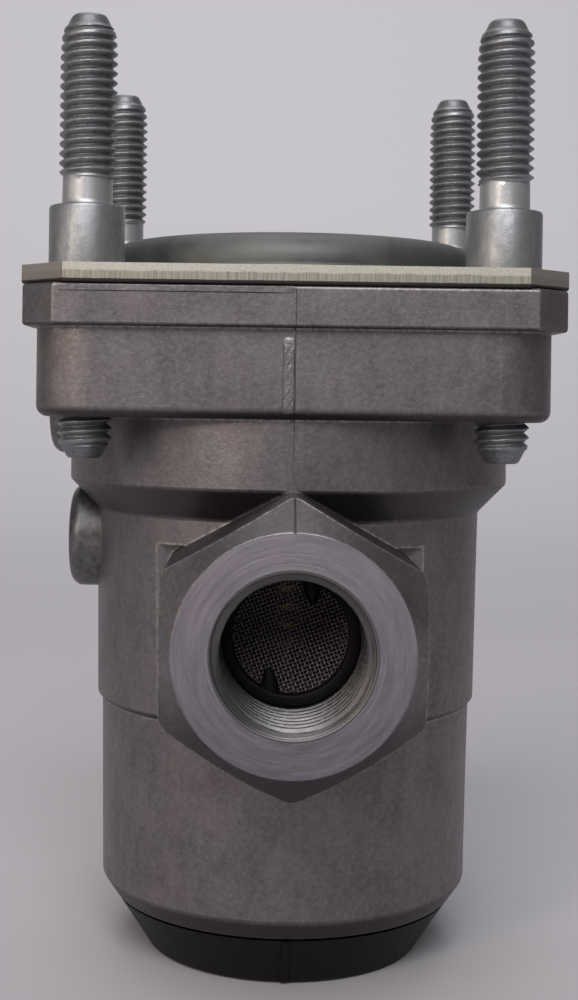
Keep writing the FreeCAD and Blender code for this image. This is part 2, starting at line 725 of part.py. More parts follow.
def retaining_ring():
    """An internal snap ring with two drilled ears at its gap."""
    low = "clip_z + (clip_groove_width - clip_thickness) / 2"
    outer = "guide_bore_radius + clip_groove_depth - seat_gap"
    band = turned("clip_band", [
        ("clip_inner_radius", low), (outer, low), (outer, f"{low} + clip_thickness"),
        ("clip_inner_radius", f"{low} + clip_thickness"),
    ])
    gap = primitive("Part::Box", "clip_opening", {
        "Length": "clip_gap", "Width": "guide_bore_radius + 2", "Height": "clip_thickness + 2",
    }, ("-clip_gap / 2", "0", f"{low} - 1"))
    open_band = cut("clip_open_band", band, [gap])
    ears = []
    holes = []
    for side, sign in (("left", "-1"), ("right", "1")):
        spot = (f"{sign} * (clip_gap / 2 + clip_lug_radius)",
                "clip_inner_radius - clip_lug_radius / 2", low)
        ears.append(cylinder(f"clip_ear_{side}", "clip_lug_radius", "clip_thickness", spot))
        holes.append(cylinder(f"clip_ear_hole_{side}", "clip_lug_hole", "clip_thickness", spot))
    return cut("retaining_ring", fuse("clip_with_ears", [open_band] + ears), holes)


# Exhaust cap under the housing, with the rubber flap that keeps water out of its vents.

def exhaust_cap():
    inner = "spigot_radius - spigot_wall"
    bowl = turned("exhaust_bowl", [
        ("flap_stem_radius", "floor_recess"), ("floor_recess_radius", "floor_recess"),
        ("floor_recess_radius", "0"), ("cap_base_radius", "0"),
        ("cap_top_radius", "cap_edge_z"), ("spigot_radius", "cap_edge_z"),
        ("spigot_radius", "snap_z + seat_gap"),
        ("spigot_radius + snap_depth - seat_gap / 2", "snap_z + snap_width * 0.4"),
        ("spigot_radius + snap_depth - seat_gap / 2", "snap_z + snap_width * 0.6"),
        ("spigot_radius", "snap_z + snap_width - seat_gap"),
        ("spigot_radius - seat_gap", "cap_edge_z + spigot_height"),
        (inner, "cap_edge_z + spigot_height"), (inner, "cap_edge_z - spigot_wall / 2"),
        ("floor_recess_radius + spigot_wall / 2", "floor_recess + floor_thickness"),
        ("flap_stem_radius", "floor_recess + floor_thickness"),
    ], rounds=[(3, "cap_base_round")])
    ribs = []
    for side, start in (("front", "-cap_top_radius - 2"), ("back", "cap_base_radius - 1.5")):
        bar = primitive("Part::Box", f"rib_bar_{side}", {
            "Length": "rib_width",
            "Width": "cap_top_radius - cap_base_radius + 3.5",
            "Height": "cap_edge_z - cap_base_round / 4",
        }, ("-rib_width / 2", start, "cap_base_round / 4"))
        cone = primitive("Part::Cone", f"rib_cone_{side}", {
            "Radius1": "cap_base_radius + rib_proud",
            "Radius2": "cap_top_radius + rib_proud",
            "Height": "cap_edge_z",
        })
        ribs.append(common(f"rib_{side}", [bar, cone]))
    vents = []
    for number in range(int(SIZES["vent_count"])):
        angle = 2 * math.pi * number / int(SIZES["vent_count"])
        vents.append(cylinder(f"vent_{number}", "vent_radius", "floor_thickness + 2",
                              (f"vent_circle * {math.cos(angle):.6f}",
                               f"vent_circle * {math.sin(angle):.6f}", "floor_recess - 1")))
    return cut("exhaust_cap", fuse("ribbed_bowl", [bowl] + ribs), vents)


def exhaust_flap():
    top = "floor_recess - seat_gap"
    barb = "floor_recess + floor_thickness + seat_gap"
    return turned("exhaust_flap", [
        ("0", f"{top} - flap_thickness"), ("flap_radius", f"{top} - flap_thickness"),
        ("flap_radius", top), ("flap_stem_radius - seat_gap", top),
        ("flap_stem_radius - seat_gap", barb), ("flap_barb_radius", barb),
        ("flap_stem_radius - seat_gap", f"{barb} + flap_barb_height"),
        ("0", f"{barb} + flap_barb_height"),
    ])


# Strainer: a wire cloth disc held at the bottom of the supply port by a plastic ring.

def strainer_ring():
    low = "strainer_back + mesh_thickness"
    outer = "strainer_seat_radius - seat_gap"
    band = turned("strainer_band", [
        ("strainer_ring_inner", low), (outer, low),
        (outer, f"{low} + strainer_ring_thickness"),
        ("strainer_ring_inner", f"{low} + strainer_ring_thickness"),
    ])
    tabs = []
    for name, angle in (("upper", 22), ("lower", 202)):
        tab = primitive("Part::Box", f"strainer_tab_{name}", {
            "Length": "strainer_tab_width",
            "Width": "strainer_tab_length + 0.5",
            "Height": "strainer_ring_thickness",
        }, turn=FreeCAD.Rotation(FreeCAD.Vector(0, 0, 1), -angle))
        turn_cos, turn_sin = math.cos(math.radians(-angle)), math.sin(math.radians(-angle))
        inward = "(strainer_ring_inner - strainer_tab_length)"
        tab.setExpression("Placement.Base.x", bind(
            f"-strainer_tab_width / 2 * {turn_cos:.6f} - {inward} * {turn_sin:.6f}"))
        tab.setExpression("Placement.Base.y", bind(
            f"-strainer_tab_width / 2 * {turn_sin:.6f} + {inward} * {turn_cos:.6f}"))
        tab.setExpression("Placement.Base.z", bind(low))
        tabs.append(tab)
    return place(fuse("strainer_ring", [band] + tabs), ("0", "0", "port_z"), TO_FRONT)


def strainer_mesh():
    """A thin disc with a square grid of holes, coarser than the real wire cloth."""
    disc = cylinder("mesh_disc", "strainer_seat_radius - seat_gap", "mesh_thickness",
                    ("0", "0", "strainer_back"))
    pitch = SIZES["mesh_pitch"]
    reach = float(sheet.evalExpression(bind("strainer_ring_inner - mesh_hole")))
    steps = int(reach / pitch)
    holes = []
    for across in range(-steps, steps + 1):
        for up in range(-steps, steps + 1):
            if math.hypot(across * pitch, up * pitch) > reach:
                continue
            holes.append(primitive("Part::Box", f"mesh_hole_{len(holes)}", {
                "Length": "mesh_hole", "Width": "mesh_hole", "Height": "mesh_thickness + 2",
            }, (f"{across} * mesh_pitch - mesh_hole / 2", f"{up} * mesh_pitch - mesh_hole / 2",
                "strainer_back - 1")))
    return place(cut("strainer_mesh", disc, holes), ("0", "0", "port_z"), TO_FRONT)


# Screw plugs: round collar heads with a hexagon socket, each on its sealing washer.

def side_plug(level):
    seat = f"{level}_plug_seat + washer_thickness"
    head = f"{seat} + {level}_plug_head"
    blank = turned(f"{level}_plug_blank", [
        ("0", f"{seat} - washer_thickness - plug_thread_length + 2 * seat_gap"),
        ("plug_thread_radius", f"{seat} - washer_thickness - plug_thread_length + 2 * seat_gap"),
        ("plug_thread_radius", seat), ("plug_radius", seat), ("plug_radius", head), ("0", head),
    ], rounds=[(4, "plug_edge_round")])
    socket = primitive("Part::Prism", f"{level}_plug_socket", {
        "Circumradius": "plug_socket_flats / sqrt(3)", "Height": "plug_socket_depth + 1",
    }, ("0", "0", f"{head} - plug_socket_depth"))
    socket.Polygon = 6
    return place(cut("side_plug_" + level, blank, [socket]), ("0", "0", f"{level}_plug_z"),
                 TO_LEFT)


def plug_washer(level):
    seat = f"{level}_plug_seat"
    inner = "plug_thread_radius + seat_gap"
    return turned("plug_washer_" + level, [
        (inner, seat), ("plug_radius", seat), ("plug_radius", f"{seat} + washer_thickness"),
        (inner, f"{seat} + washer_thickness"),
    ], at=("0", "0", f"{level}_plug_z"), turn=TO_LEFT)


parts = [housing(), clamp_plate(), spring_cap(), spring_seat(), piston(), piston_guide_ring(),
         valve_body(), valve_rubber(), valve_guide(), retaining_ring(), exhaust_cap(),
         exhaust_flap(), strainer_ring(), strainer_mesh()]
parts += [stud(name) for name in STUDS]
for level in ("lower", "upper"):
    parts += [side_plug(level), plug_washer(level)]
parts += [
    ring("piston_seal_ring", "piston_bore_radius - seal_gap - (seal_wire - 2 * seal_gap) / 2",
         "seal_wire - 2 * seal_gap", "seal_z + seal_groove_width / 2"),
    ring("guide_seal_ring", "guide_bore_radius - guide_seal_wire / 2",
         "guide_seal_wire - 2 * seal_gap", "guide_seal_z"),
    ring("tube_seal_ring", "valve_tube_radius + tube_seal_wire / 2",
         "tube_seal_wire - 2 * seal_gap", "tube_seal_z"),
    coil("regulating_spring", "spring_radius", "spring_wire", "spring_turns",
         "piston_floor_z", "seat_disc_z"),
    coil("return_spring", "return_spring_radius", "return_spring_wire", "return_spring_turns",
         "chamber_z", "head_z"),
]
doc.recompute()

for item in doc.Objects:
    faults = [state for state in item.State if state in ("Invalid", "Error")]
    if faults:
        raise RuntimeError(f"{item.Name}: {faults}")
for item in parts:
    if item.Shape.isNull() or not item.Shape.isValid():
        raise RuntimeError(f"{item.Label}: bad shape")

os.makedirs("parts", exist_ok=True)
for item in parts:
    item.Shape.exportStep(f"parts/{item.Label}.step")
    print(f"{item.Label}: {len(item.Shape.Solids)} solid, {item.Shape.Volume:.1f} mm3")
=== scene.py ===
import math

import bpy
import numpy as np
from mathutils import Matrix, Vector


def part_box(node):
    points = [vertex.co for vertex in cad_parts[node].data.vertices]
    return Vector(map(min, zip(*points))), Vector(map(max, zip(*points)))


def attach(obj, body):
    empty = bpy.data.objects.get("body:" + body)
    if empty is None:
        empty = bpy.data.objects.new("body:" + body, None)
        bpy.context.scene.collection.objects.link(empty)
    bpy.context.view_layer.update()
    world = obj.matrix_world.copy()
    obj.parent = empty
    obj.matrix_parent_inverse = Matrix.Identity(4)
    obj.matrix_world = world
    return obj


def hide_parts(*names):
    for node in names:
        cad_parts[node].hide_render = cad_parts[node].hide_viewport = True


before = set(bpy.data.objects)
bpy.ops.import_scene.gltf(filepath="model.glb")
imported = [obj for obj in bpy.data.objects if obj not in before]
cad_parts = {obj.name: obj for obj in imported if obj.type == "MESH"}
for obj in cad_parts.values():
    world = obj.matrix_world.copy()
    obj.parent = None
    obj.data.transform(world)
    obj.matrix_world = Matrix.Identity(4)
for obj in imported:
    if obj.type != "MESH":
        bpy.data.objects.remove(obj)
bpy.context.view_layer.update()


# Housing: one die casting in aluminium alloy, shot blasted to a dull grey-brown grain. The two
# port faces and the bores are turned afterwards and show fine concentric tool marks.
MM = 0.001
PORT_HEIGHT = 39.1 * MM
PORT_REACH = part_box("housing")[1].y
PORT_FACE_RADIUS = 11.64 * MM
PORT_BORE_RADIUS = 8.15 * MM
CAST_DARK = (0.112, 0.099, 0.106, 1)
CAST_MIDDLE = (0.188, 0.17, 0.178, 1)
CAST_PALE = (0.32, 0.296, 0.304, 1)
CAST_WARM = (0.216, 0.178, 0.164, 1)
CAST_WORN_AND_GLINT = (0.62, 0.59, 0.56, 1)
CAST_TOP_SHADE = (0.05, 0.042, 0.046, 1)
CAST_SHADED = (0.04, 0.034, 0.038, 1)
SEAM_LINE_AND_SIDE_SHADE = (0.045, 0.038, 0.04, 1)
TURNED_DARK = (0.266, 0.235, 0.266, 1)
TURNED_PALE = (0.43, 0.395, 0.43, 1)
TURNED_STAIN_AND_SHADE = (0.14, 0.122, 0.15, 1)
SEAM_HALF_WIDTH, SEAM_END = 0.1 * MM, 52.0 * MM
CLOUD_SIZE, FLOW_SIZE, STAIN_SIZE = 6.0 * MM, 1.6 * MM, 9.0 * MM
CAST_ROUGHNESS, TURNED_ROUGHNESS, CAST_GRAIN_DEPTH = 0.46, 0.36, 0.028 * MM
BARE_METAL = 0.85


def add(tree, kind, settings=(), **values):
    """A new node: its settings first, then its inputs by name (or i and their number)."""
    node = tree.nodes.new(kind)
    for name, value in dict(settings).items():
        setattr(node, name, value)
    for label, value in values.items():
        socket = node.inputs[int(label[1:]) if label[1:].isdigit() else label.replace("_", " ")]
        if isinstance(value, bpy.types.NodeSocket):
            tree.links.new(value, socket)
        else:
            socket.default_value = value
    return node


def maths(tree, operation, first, second=0.0, third=0.0, clamp=False):
    """One step of arithmetic on numbers or on what other nodes put out."""
    settings = {"operation": operation, "use_clamp": clamp}
    return add(tree, "ShaderNodeMath", settings, i0=first, i1=second, i2=third).outputs[0]


def ramp(tree, value, low, high):
    """0 below low, 1 above high and straight between. low may be the larger."""
    return add(tree, "ShaderNodeMapRange", Value=value, From_Min=low, From_Max=high).outputs[0]


def coordinates(tree, vector):
    """A vector taken apart, as outputs named X, Y and Z."""
    return add(tree, "ShaderNodeSeparateXYZ", Vector=vector).outputs


def diagonal(tree, first, second):
    """The square root of first * first + second * second."""
    squares = maths(tree, "ADD", maths(tree, "POWER", first, 2.0), maths(tree, "POWER", second, 2.0))
    return maths(tree, "SQRT", squares)


def facing(tree):
    """The way the surface looks, in the object's axes, as outputs named X, Y and Z."""
    return coordinates(tree, add(tree, "ShaderNodeTexCoord").outputs["Normal"])


def mixed(tree, factor, first, second):
    """A colour between two, by a factor from 0 to 1."""
    node = add(tree, "ShaderNodeMix", {"data_type": "RGBA"}, i0=factor, i6=first, i7=second)
    return node.outputs[2]


def noise(tree, place, size, detail=3.0, roughness=0.6, stretch=(1, 1, 1)):
    """Noise whose blots are about size wide, in metres, drawn out along an axis by stretch."""
    drawn = add(tree, "ShaderNodeMapping", Vector=place, Scale=stretch).outputs[0]
    return add(tree, "ShaderNodeTexNoise", Vector=drawn, Scale=1 / size, Detail=detail,
               Roughness=roughness).outputs["Fac"]


def node_group(name, inputs, outputs):
    """A shader node group with named sockets: inputs as name: default, outputs as names."""
    group = bpy.data.node_groups.new(name, "ShaderNodeTree")
    for label, default in inputs.items():
        kind = "NodeSocketFloat" if isinstance(default, float) else "NodeSocketVector"
        socket = group.interface.new_socket(name=label, in_out="INPUT", socket_type=kind)
        if kind == "NodeSocketFloat":
            socket.default_value = default
    for label in outputs:
        group.interface.new_socket(name=label, in_out="OUTPUT", socket_type="NodeSocketFloat")
    start, end = group.nodes.new("NodeGroupInput"), group.nodes.new("NodeGroupOutput")
    return group, start.outputs, end.inputs


def grain_group():
    """Blasted or cast grain: pits and blotches as height, blotches and glinting facets apart."""
    group, start, end = node_group("grain", {"Place": None, "Pit Size": 0.2 * MM,
                                             "Blotch Size": 1.2 * MM},
                                   ("Height", "Blotches", "Glints"))
    pits = add(group, "ShaderNodeTexNoise", Vector=start["Place"], Detail=2.0,
               Scale=maths(group, "DIVIDE", 1.0, start["Pit Size"])).outputs["Fac"]
    blotches = add(group, "ShaderNodeTexNoise", Vector=start["Place"], Detail=4.0,
                   Scale=maths(group, "DIVIDE", 1.0, start["Blotch Size"])).outputs["Fac"]
    facets = add(group, "ShaderNodeTexVoronoi", Vector=start["Place"],
                 Scale=maths(group, "DIVIDE", 1.0, start["Pit Size"])).outputs["Color"]
    chance = add(group, "ShaderNodeSeparateColor", Color=facets).outputs[0]
    group.links.new(maths(group, "MULTIPLY_ADD", pits, 0.6, blotches), end["Height"])
    group.links.new(blotches, end["Blotches"])
    group.links.new(ramp(group, chance, 0.86, 0.97), end["Glints"])
    return group


def worn_edge_group():
    """Edges rubbed bright: 1 where the surface turns sharply within Reach, 0 on flats."""
    group, start, end = node_group("worn_edge", {"Gain": 2.0, "Reach": 0.3 * MM}, ("Edge",))
    rounded = add(group, "ShaderNodeBevel", {"samples": 6}, Radius=start["Reach"]).outputs[0]
    true = add(group, "ShaderNodeNewGeometry").outputs["Normal"]
    meet = add(group, "ShaderNodeVectorMath", {"operation": "DOT_PRODUCT"}, i0=rounded, i1=true)
    bend = maths(group, "SUBTRACT", 1.0, meet.outputs["Value"])
    group.links.new(maths(group, "MULTIPLY", bend, start["Gain"], clamp=True), end["Edge"])
    return group


GRAIN = grain_group()
WORN_EDGE = worn_edge_group()


def use_group(tree, group, **values):
    """A node group placed in a material, its inputs set by name. Gives its outputs."""
    return add(tree, "ShaderNodeGroup", {"node_tree": group}, **values).outputs


def new_material(name, roughness=0.5, metallic=0.0):
    """A node material with its tree, its Principled shader and its Object coordinates."""
    material = bpy.data.materials.new(name)
    material.use_nodes = True
    shader = material.node_tree.nodes["Principled BSDF"]
    shader.inputs["Roughness"].default_value = roughness
    shader.inputs["Metallic"].default_value = metallic
    place = material.node_tree.nodes.new("ShaderNodeTexCoord").outputs["Object"]
    return material, material.node_tree, shader, place


def feed(tree, shader, **values):
    """Links or sets the shader's sockets by name; Height goes through a Bump of given depth."""
    depth = values.pop("depth", 0.05 * MM)
    for label, value in values.items():
        if label == "Height":
            value = add(tree, "ShaderNodeBump", Height=value, Distance=depth).outputs[0]
            label = "Normal"
        tree.links.new(value, shader.inputs[label.replace("_", " ")])


def port_distance(tree, place):
    """A point's distance from the axis of the ports, and how far out along it the point is."""
    apart = coordinates(tree, place)
    up = maths(tree, "SUBTRACT", apart["Z"], PORT_HEIGHT)
    return diagonal(tree, apart["X"], up), maths(tree, "ABSOLUTE", apart["Y"])


def tool_marks(tree, radius, pitch=0.12 * MM):
    """Concentric turning marks: noise that changes with the radius alone."""
    return add(tree, "ShaderNodeTexNoise", {"noise_dimensions": "1D"}, W=radius,
               Scale=1 / pitch, Detail=5.0, Roughness=0.75).outputs["Fac"]


def turned_stains_and_shade(tree, place, radius):
    """Stains drawn out along the turning: noise over the radius and the angle about the port,
    and painted shade that deepens downwards."""
    apart = coordinates(tree, place)
    up = maths(tree, "SUBTRACT", apart["Z"], PORT_HEIGHT)
    angle = maths(tree, "ARCTAN2", up, maths(tree, "ABSOLUTE", apart["X"]))
    spot = add(tree, "ShaderNodeCombineXYZ", X=maths(tree, "MULTIPLY", radius, 3.0),
               Y=maths(tree, "MULTIPLY", angle, 3.0 * MM), Z=maths(tree, "SIGN", apart["X"])).outputs[0]
    arcs = ramp(tree, noise(tree, spot, 1.6 * MM, 4.0, 0.7), 0.35, 0.7)
    # Painted shade: the turned face darkens towards its bottom.
    painted_low_shade = ramp(tree, up, PORT_FACE_RADIUS, -PORT_FACE_RADIUS)
    return maths(tree, "ADD", maths(tree, "MULTIPLY", arcs, 0.5), maths(tree, "MULTIPLY", painted_low_shade, 0.5),
                 clamp=True)


def cast_colour(tree, place, wear=7.0):
    """The casting's skin: clouds, warm stains, blotches, pale specks painted as glints, painted shade
    on faces that look up and on those that look down, rubbed edges and, on the upper part, the dark
    line where the mould halves met. Gives colour, roughness and height."""
    grain = use_group(tree, GRAIN, Place=place, Pit_Size=0.16 * MM, Blotch_Size=0.5 * MM)
    edge = use_group(tree, WORN_EDGE, Gain=wear, Reach=0.5 * MM)["Edge"]
    clouds = ramp(tree, noise(tree, place, CLOUD_SIZE, 5.0, 0.7), 0.28, 0.72)
    flow = ramp(tree, noise(tree, place, FLOW_SIZE, 3.0, 0.6, (1, 1, 0.3)), 0.42, 0.62)
    stain = ramp(tree, noise(tree, place, STAIN_SIZE, 4.0, 0.7), 0.52, 0.72)
    skin = mixed(tree, clouds, CAST_DARK, CAST_MIDDLE)
    skin = mixed(tree, maths(tree, "MULTIPLY", flow, 0.12), skin, CAST_PALE)
    skin = mixed(tree, maths(tree, "MULTIPLY", stain, 0.45), skin, CAST_WARM)
    fleck = ramp(tree, grain["Blotches"], 0.4, 0.7)
    skin = mixed(tree, maths(tree, "MULTIPLY", fleck, 0.25), skin, CAST_PALE)
    # Painted glints: sparse pale specks stand in for sparkling facets.
    skin = mixed(tree, maths(tree, "MULTIPLY", grain["Glints"], 0.07), skin, CAST_WORN_AND_GLINT)
    upward = facing(tree)["Z"]
    # Painted shade: faces that look up are darkened, standing in for the dark reflection they show.
    painted_top_shade = ramp(tree, upward, 0.35, 0.95)
    skin = mixed(tree, maths(tree, "MULTIPLY", painted_top_shade, 0.85), skin, CAST_TOP_SHADE)
    # Painted shade: faces that look down are darkened as if shaded.
    painted_underside_shade = ramp(tree, upward, -0.1, -0.5)
    skin = mixed(tree, maths(tree, "MULTIPLY", painted_underside_shade, 0.85), skin, CAST_SHADED)
    rubbed = maths(tree, "MULTIPLY", edge, ramp(tree, grain["Blotches"], 0.3, 0.55))
    skin = mixed(tree, maths(tree, "MULTIPLY", rubbed, 0.8), skin, CAST_WORN_AND_GLINT)
    apart = coordinates(tree, place)
    seam = ramp(tree, maths(tree, "ABSOLUTE", apart["X"]), SEAM_HALF_WIDTH, SEAM_HALF_WIDTH / 2)
    seam = maths(tree, "MULTIPLY", seam, ramp(tree, apart["Z"], SEAM_END, SEAM_END + 9 * MM))
    broken = ramp(tree, noise(tree, place, 1.5 * MM, 2.0), 0.25, 0.75)
    skin = mixed(tree, maths(tree, "MULTIPLY", seam, broken), skin, SEAM_LINE_AND_SIDE_SHADE)
    rough = maths(tree, "MULTIPLY_ADD", grain["Glints"], -0.14, CAST_ROUGHNESS)
    return skin, rough, grain["Height"]


def cast_and_machined():
    """Cast skin all over, with turned metal on the port faces and in the bores."""
    material, tree, shader, place = new_material("cast_and_machined", metallic=BARE_METAL)
    skin, skin_rough, skin_height = cast_colour(tree, place)
    radius, reach = port_distance(tree, place)
    face = maths(tree, "MULTIPLY", ramp(tree, reach, PORT_REACH - 0.06 * MM, PORT_REACH - 0.03 * MM),
                 ramp(tree, radius, PORT_FACE_RADIUS + 0.2 * MM, PORT_FACE_RADIUS + 0.1 * MM))
    bore = maths(tree, "MULTIPLY", ramp(tree, radius, PORT_BORE_RADIUS + 0.1 * MM, PORT_BORE_RADIUS),
                 ramp(tree, reach, 12 * MM, 13 * MM))
    machined = maths(tree, "MAXIMUM", face, bore)
    marks = tool_marks(tree, radius)
    bright = mixed(tree, ramp(tree, marks, 0.25, 0.75), TURNED_DARK, TURNED_PALE)
    bright = mixed(tree, turned_stains_and_shade(tree, place, radius), bright, TURNED_STAIN_AND_SHADE)
    rough = add(tree, "ShaderNodeMix", i0=machined, i2=skin_rough, i3=TURNED_ROUGHNESS).outputs[0]
    skin_part = maths(tree, "MULTIPLY", skin_height, maths(tree, "SUBTRACT", 1.0, machined))
    mark_part = maths(tree, "MULTIPLY", marks, maths(tree, "MULTIPLY", face, 0.6))
    feed(tree, shader, Base_Color=mixed(tree, machined, skin, bright), Roughness=rough,
         Height=maths(tree, "ADD", skin_part, mark_part), depth=CAST_GRAIN_DEPTH)
    return material


def dress(node_name, material):
    """Gives a carried-over node its finish."""
    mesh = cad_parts[node_name].data
    mesh.materials.clear()
    mesh.materials.append(material)


CASTING = cast_and_machined()
dress("housing", CASTING)


# Mould marks on the casting: the mould halves meet at x = 0 and leave a thin raised seam on the
# upper front and back. Beside it on the block is the rough scar where the gate was broken off,
# and the left half of the flange stands a hair proud of the right one along its top.
TAU = 2 * math.pi
FLANGE_FRONT, FLANGE_LOW, FLANGE_TOP = 28.0 * MM, 70.5 * MM, 74.8 * MM
BLOCK_FRONT, BLOCK_LOW, BLOCK_ROUND = 26.9 * MM, 61.2 * MM, 1.2 * MM
NECK_RADIUS, NECK_SEAM_END = 25.5 * MM, 58.0 * MM
HEXAGON_CORNER, HEXAGON_EDGE = 14.65 * MM, 33.95 * MM
SEAM_RISE, SEAM_SINK = 0.04 * MM, 0.05 * MM
GATE_CENTRE, GATE_SIZE, GATE_RISE = (-0.62 * MM, 65.7 * MM), (1.2 * MM, 7.8 * MM), 0.13 * MM
LIP_CENTRE, LIP_SIZE, LIP_RISE = (-12.1 * MM, 74.3 * MM), (24.0 * MM, 0.7 * MM), 0.12 * MM


def grid_faces(rows, columns, around=False):
    """Quads of a grid of points stored row after row, the columns joined up if around."""
    row = np.arange(rows - 1)[:, None]
    column = np.arange(columns if around else columns - 1)[None]
    beside = (column + 1) % columns
    corners = (row * columns + column, row * columns + beside,
               (row + 1) * columns + beside, (row + 1) * columns + column)
    flat = [np.broadcast_to(corner, (rows - 1, column.size)) for corner in corners]
    return np.stack(flat, -1).reshape(-1, 4)


def closed_tube(points):
    """Points of shape (rings, around, 3) as a shell closed by a fan at each end. The rings turn
    to the left as seen from the last one, so that the faces look outwards."""
    rings, around, _ = points.shape
    flat = points.reshape(-1, 3)
    hubs = np.stack([points[0].mean(0), points[-1].mean(0)])
    spoke = np.arange(around)
    beside = (spoke + 1) % around
    start_hub, end_hub = np.full(around, rings * around), np.full(around, rings * around + 1)
    end = (rings - 1) * around
    first = np.stack([start_hub, beside, spoke, spoke], 1)
    last = np.stack([end + spoke, end + beside, end + beside, end_hub], 1)
    return np.concatenate([flat, hubs]), np.concatenate([grid_faces(rings, around, True), first, last])


def new_piece(name, shells, material, body="valve_case", sharp=35):
    """Joins shells of (points, quads) into one mesh that rides on a body. A quad that names a
    point twice becomes a triangle."""
    starts = np.cumsum([0] + [len(points) for points, _ in shells])
    faces = [list(dict.fromkeys(face)) for start, (_, quads) in zip(starts, shells)
             for face in (np.asarray(quads) + start).tolist()]
    mesh = bpy.data.meshes.new(name)
    mesh.from_pydata(np.concatenate([points for points, _ in shells]).tolist(), [], faces)
    mesh.polygons.foreach_set("use_smooth", np.ones(len(mesh.polygons), bool))
    mesh.set_sharp_from_angle(angle=math.radians(sharp))
    mesh.materials.append(material)
    piece = bpy.data.objects.new(name, mesh)
    bpy.context.scene.collection.objects.link(piece)
    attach(piece, body)
    return piece


def seam_bead(start, end):
    """A bead from start to end, both (y, z) at x = 0. Its section is half a cosine wave:
    point = line + outward * SEAM_RISE * cos(pi t / 2) at x = SEAM_HALF_WIDTH * t, t from 1 to
    -1, closed by a foot SEAM_SINK below the skin."""
    line = np.linspace(start, end, 3)
    along = (line[-1] - line[0]) / np.linalg.norm(line[-1] - line[0])
    outward = np.array([along[1], -along[0]])
    t = np.linspace(1, -1, 7)
    across = np.r_[t, -1, 1] * SEAM_HALF_WIDTH
    lift = np.r_[SEAM_RISE * np.cos(math.pi * t / 2), -SEAM_SINK, -SEAM_SINK]
    yz = line[:, None] + outward * lift[None, :, None]
    points = np.concatenate([np.broadcast_to(across[None, :, None], (3, 9, 1)), yz], 2)
    return closed_tube(points)


def half_turned(shell):
    """The same shell turned half round the valve axis: x and y change sign."""
    points, faces = shell
    return points * (-1, -1, 1), faces


def front_pad(centre, size, corner, wall, rise, lump=0.0):
    """A low pad on the wall y = -wall. Its outline is a rounded rectangle shrunk towards the
    centre by s from 1 to 0, and it stands rise * (1 - s ** 16) * (1 + lump * waves) off it."""
    turn = np.linspace(0, TAU, 192, endpoint=False)
    half = np.array(size) / 2
    corner_part = np.stack([np.cos(turn), np.sin(turn)], 1) * corner
    outline = corner_part + np.sign(corner_part.round(9)) * (half - corner)
    s = np.r_[1, 1, 0.98, 0.95, np.linspace(0.9, 0.04, 22)]
    flat = np.array(centre) + s[:, None, None] * outline[None]
    waves = sum(np.sin(flat[..., 0] * across / MM + shift) * np.sin(flat[..., 1] * up / MM)
                for across, up, shift in ((9.1, 4.3, 0.3), (13.3, 8.9, 2.1), (5.7, 14.9, 1.7)))
    height = rise * (1 - s[:, None] ** 16) * (1 + lump * waves)
    height[0] = -rise / 2
    points = np.stack([flat[..., 0], -wall - height, flat[..., 1]], -1)
    return closed_tube(points)


def cast_pad():
    """The casting's skin without rubbed edges; the steep sides of a pad are painted dark, as shade."""
    material, tree, shader, place = new_material("cast_pad", metallic=BARE_METAL)
    skin, rough, height = cast_colour(tree, place, 0.0)
    # Painted shade: the pad's steep sides are darkened.
    side = ramp(tree, maths(tree, "ABSOLUTE", facing(tree)["Y"]), 0.85, 0.5)
    feed(tree, shader, Base_Color=mixed(tree, side, skin, SEAM_LINE_AND_SIDE_SHADE), Roughness=rough, Height=height)
    return material


# The seam's stretches, each from its upper to its lower end, as (y, z) on the front.
seam_stretches = [
    ((-FLANGE_FRONT, FLANGE_TOP - 0.4 * MM), (-FLANGE_FRONT, FLANGE_LOW + 0.4 * MM)),
    ((-BLOCK_FRONT, FLANGE_LOW), (-BLOCK_FRONT, BLOCK_LOW + BLOCK_ROUND)),
    ((-NECK_RADIUS, BLOCK_LOW), (-NECK_RADIUS, NECK_SEAM_END)),
    ((-HEXAGON_EDGE, PORT_HEIGHT + HEXAGON_CORNER), (-PORT_REACH, PORT_HEIGHT + PORT_FACE_RADIUS)),
]
seam_shells = [seam_bead(*stretch) for stretch in seam_stretches]
pad_material = cast_pad()
new_piece("mould_seam", seam_shells + [half_turned(shell) for shell in seam_shells], pad_material)
new_piece("gate_scar", [front_pad(GATE_CENTRE, GATE_SIZE, 0.35 * MM, BLOCK_FRONT, GATE_RISE, 0.15)],
          pad_material)
new_piece("flange_lip", [front_pad(LIP_CENTRE, LIP_SIZE, 0.3 * MM, FLANGE_FRONT, LIP_RISE)],
          pad_material)


# Port threads: an M16 x 1.5 thread is cut into each port. A small step and a countersink
# lead in from the turned face, and the thread runs out where the strainer's seat begins.
PORT_PITCH = 1.5 * MM
PORT_ROOT, PORT_CREST = 7.95 * MM, 7.08 * MM
PORT_MOUTH, PORT_STEP = 8.0 * MM, 0.18 * MM
PORT_THREAD_DEPTH = 11.75 * MM
PORT_OUTSIDE = (8.13 * MM, 7.99 * MM)
PORT_RIM_DEPTH = 0.88 * MM
PORT_DARK, PORT_PALE = (0.105, 0.1, 0.104, 1), (0.154, 0.148, 0.151, 1)
PORT_SMEAR, PORT_SHADE = (0.12, 0.11, 0.12, 1), (0.03, 0.027, 0.028, 1)


def thread_profile(phase):
    """Height from 0 at the root to 1 at the crest: a V with a narrow flat at both."""
    triangle = 1 - np.abs(((phase + 0.5) % 1) * 2 - 1)
    return np.clip((triangle - 0.1) / 0.8, 0, 1)


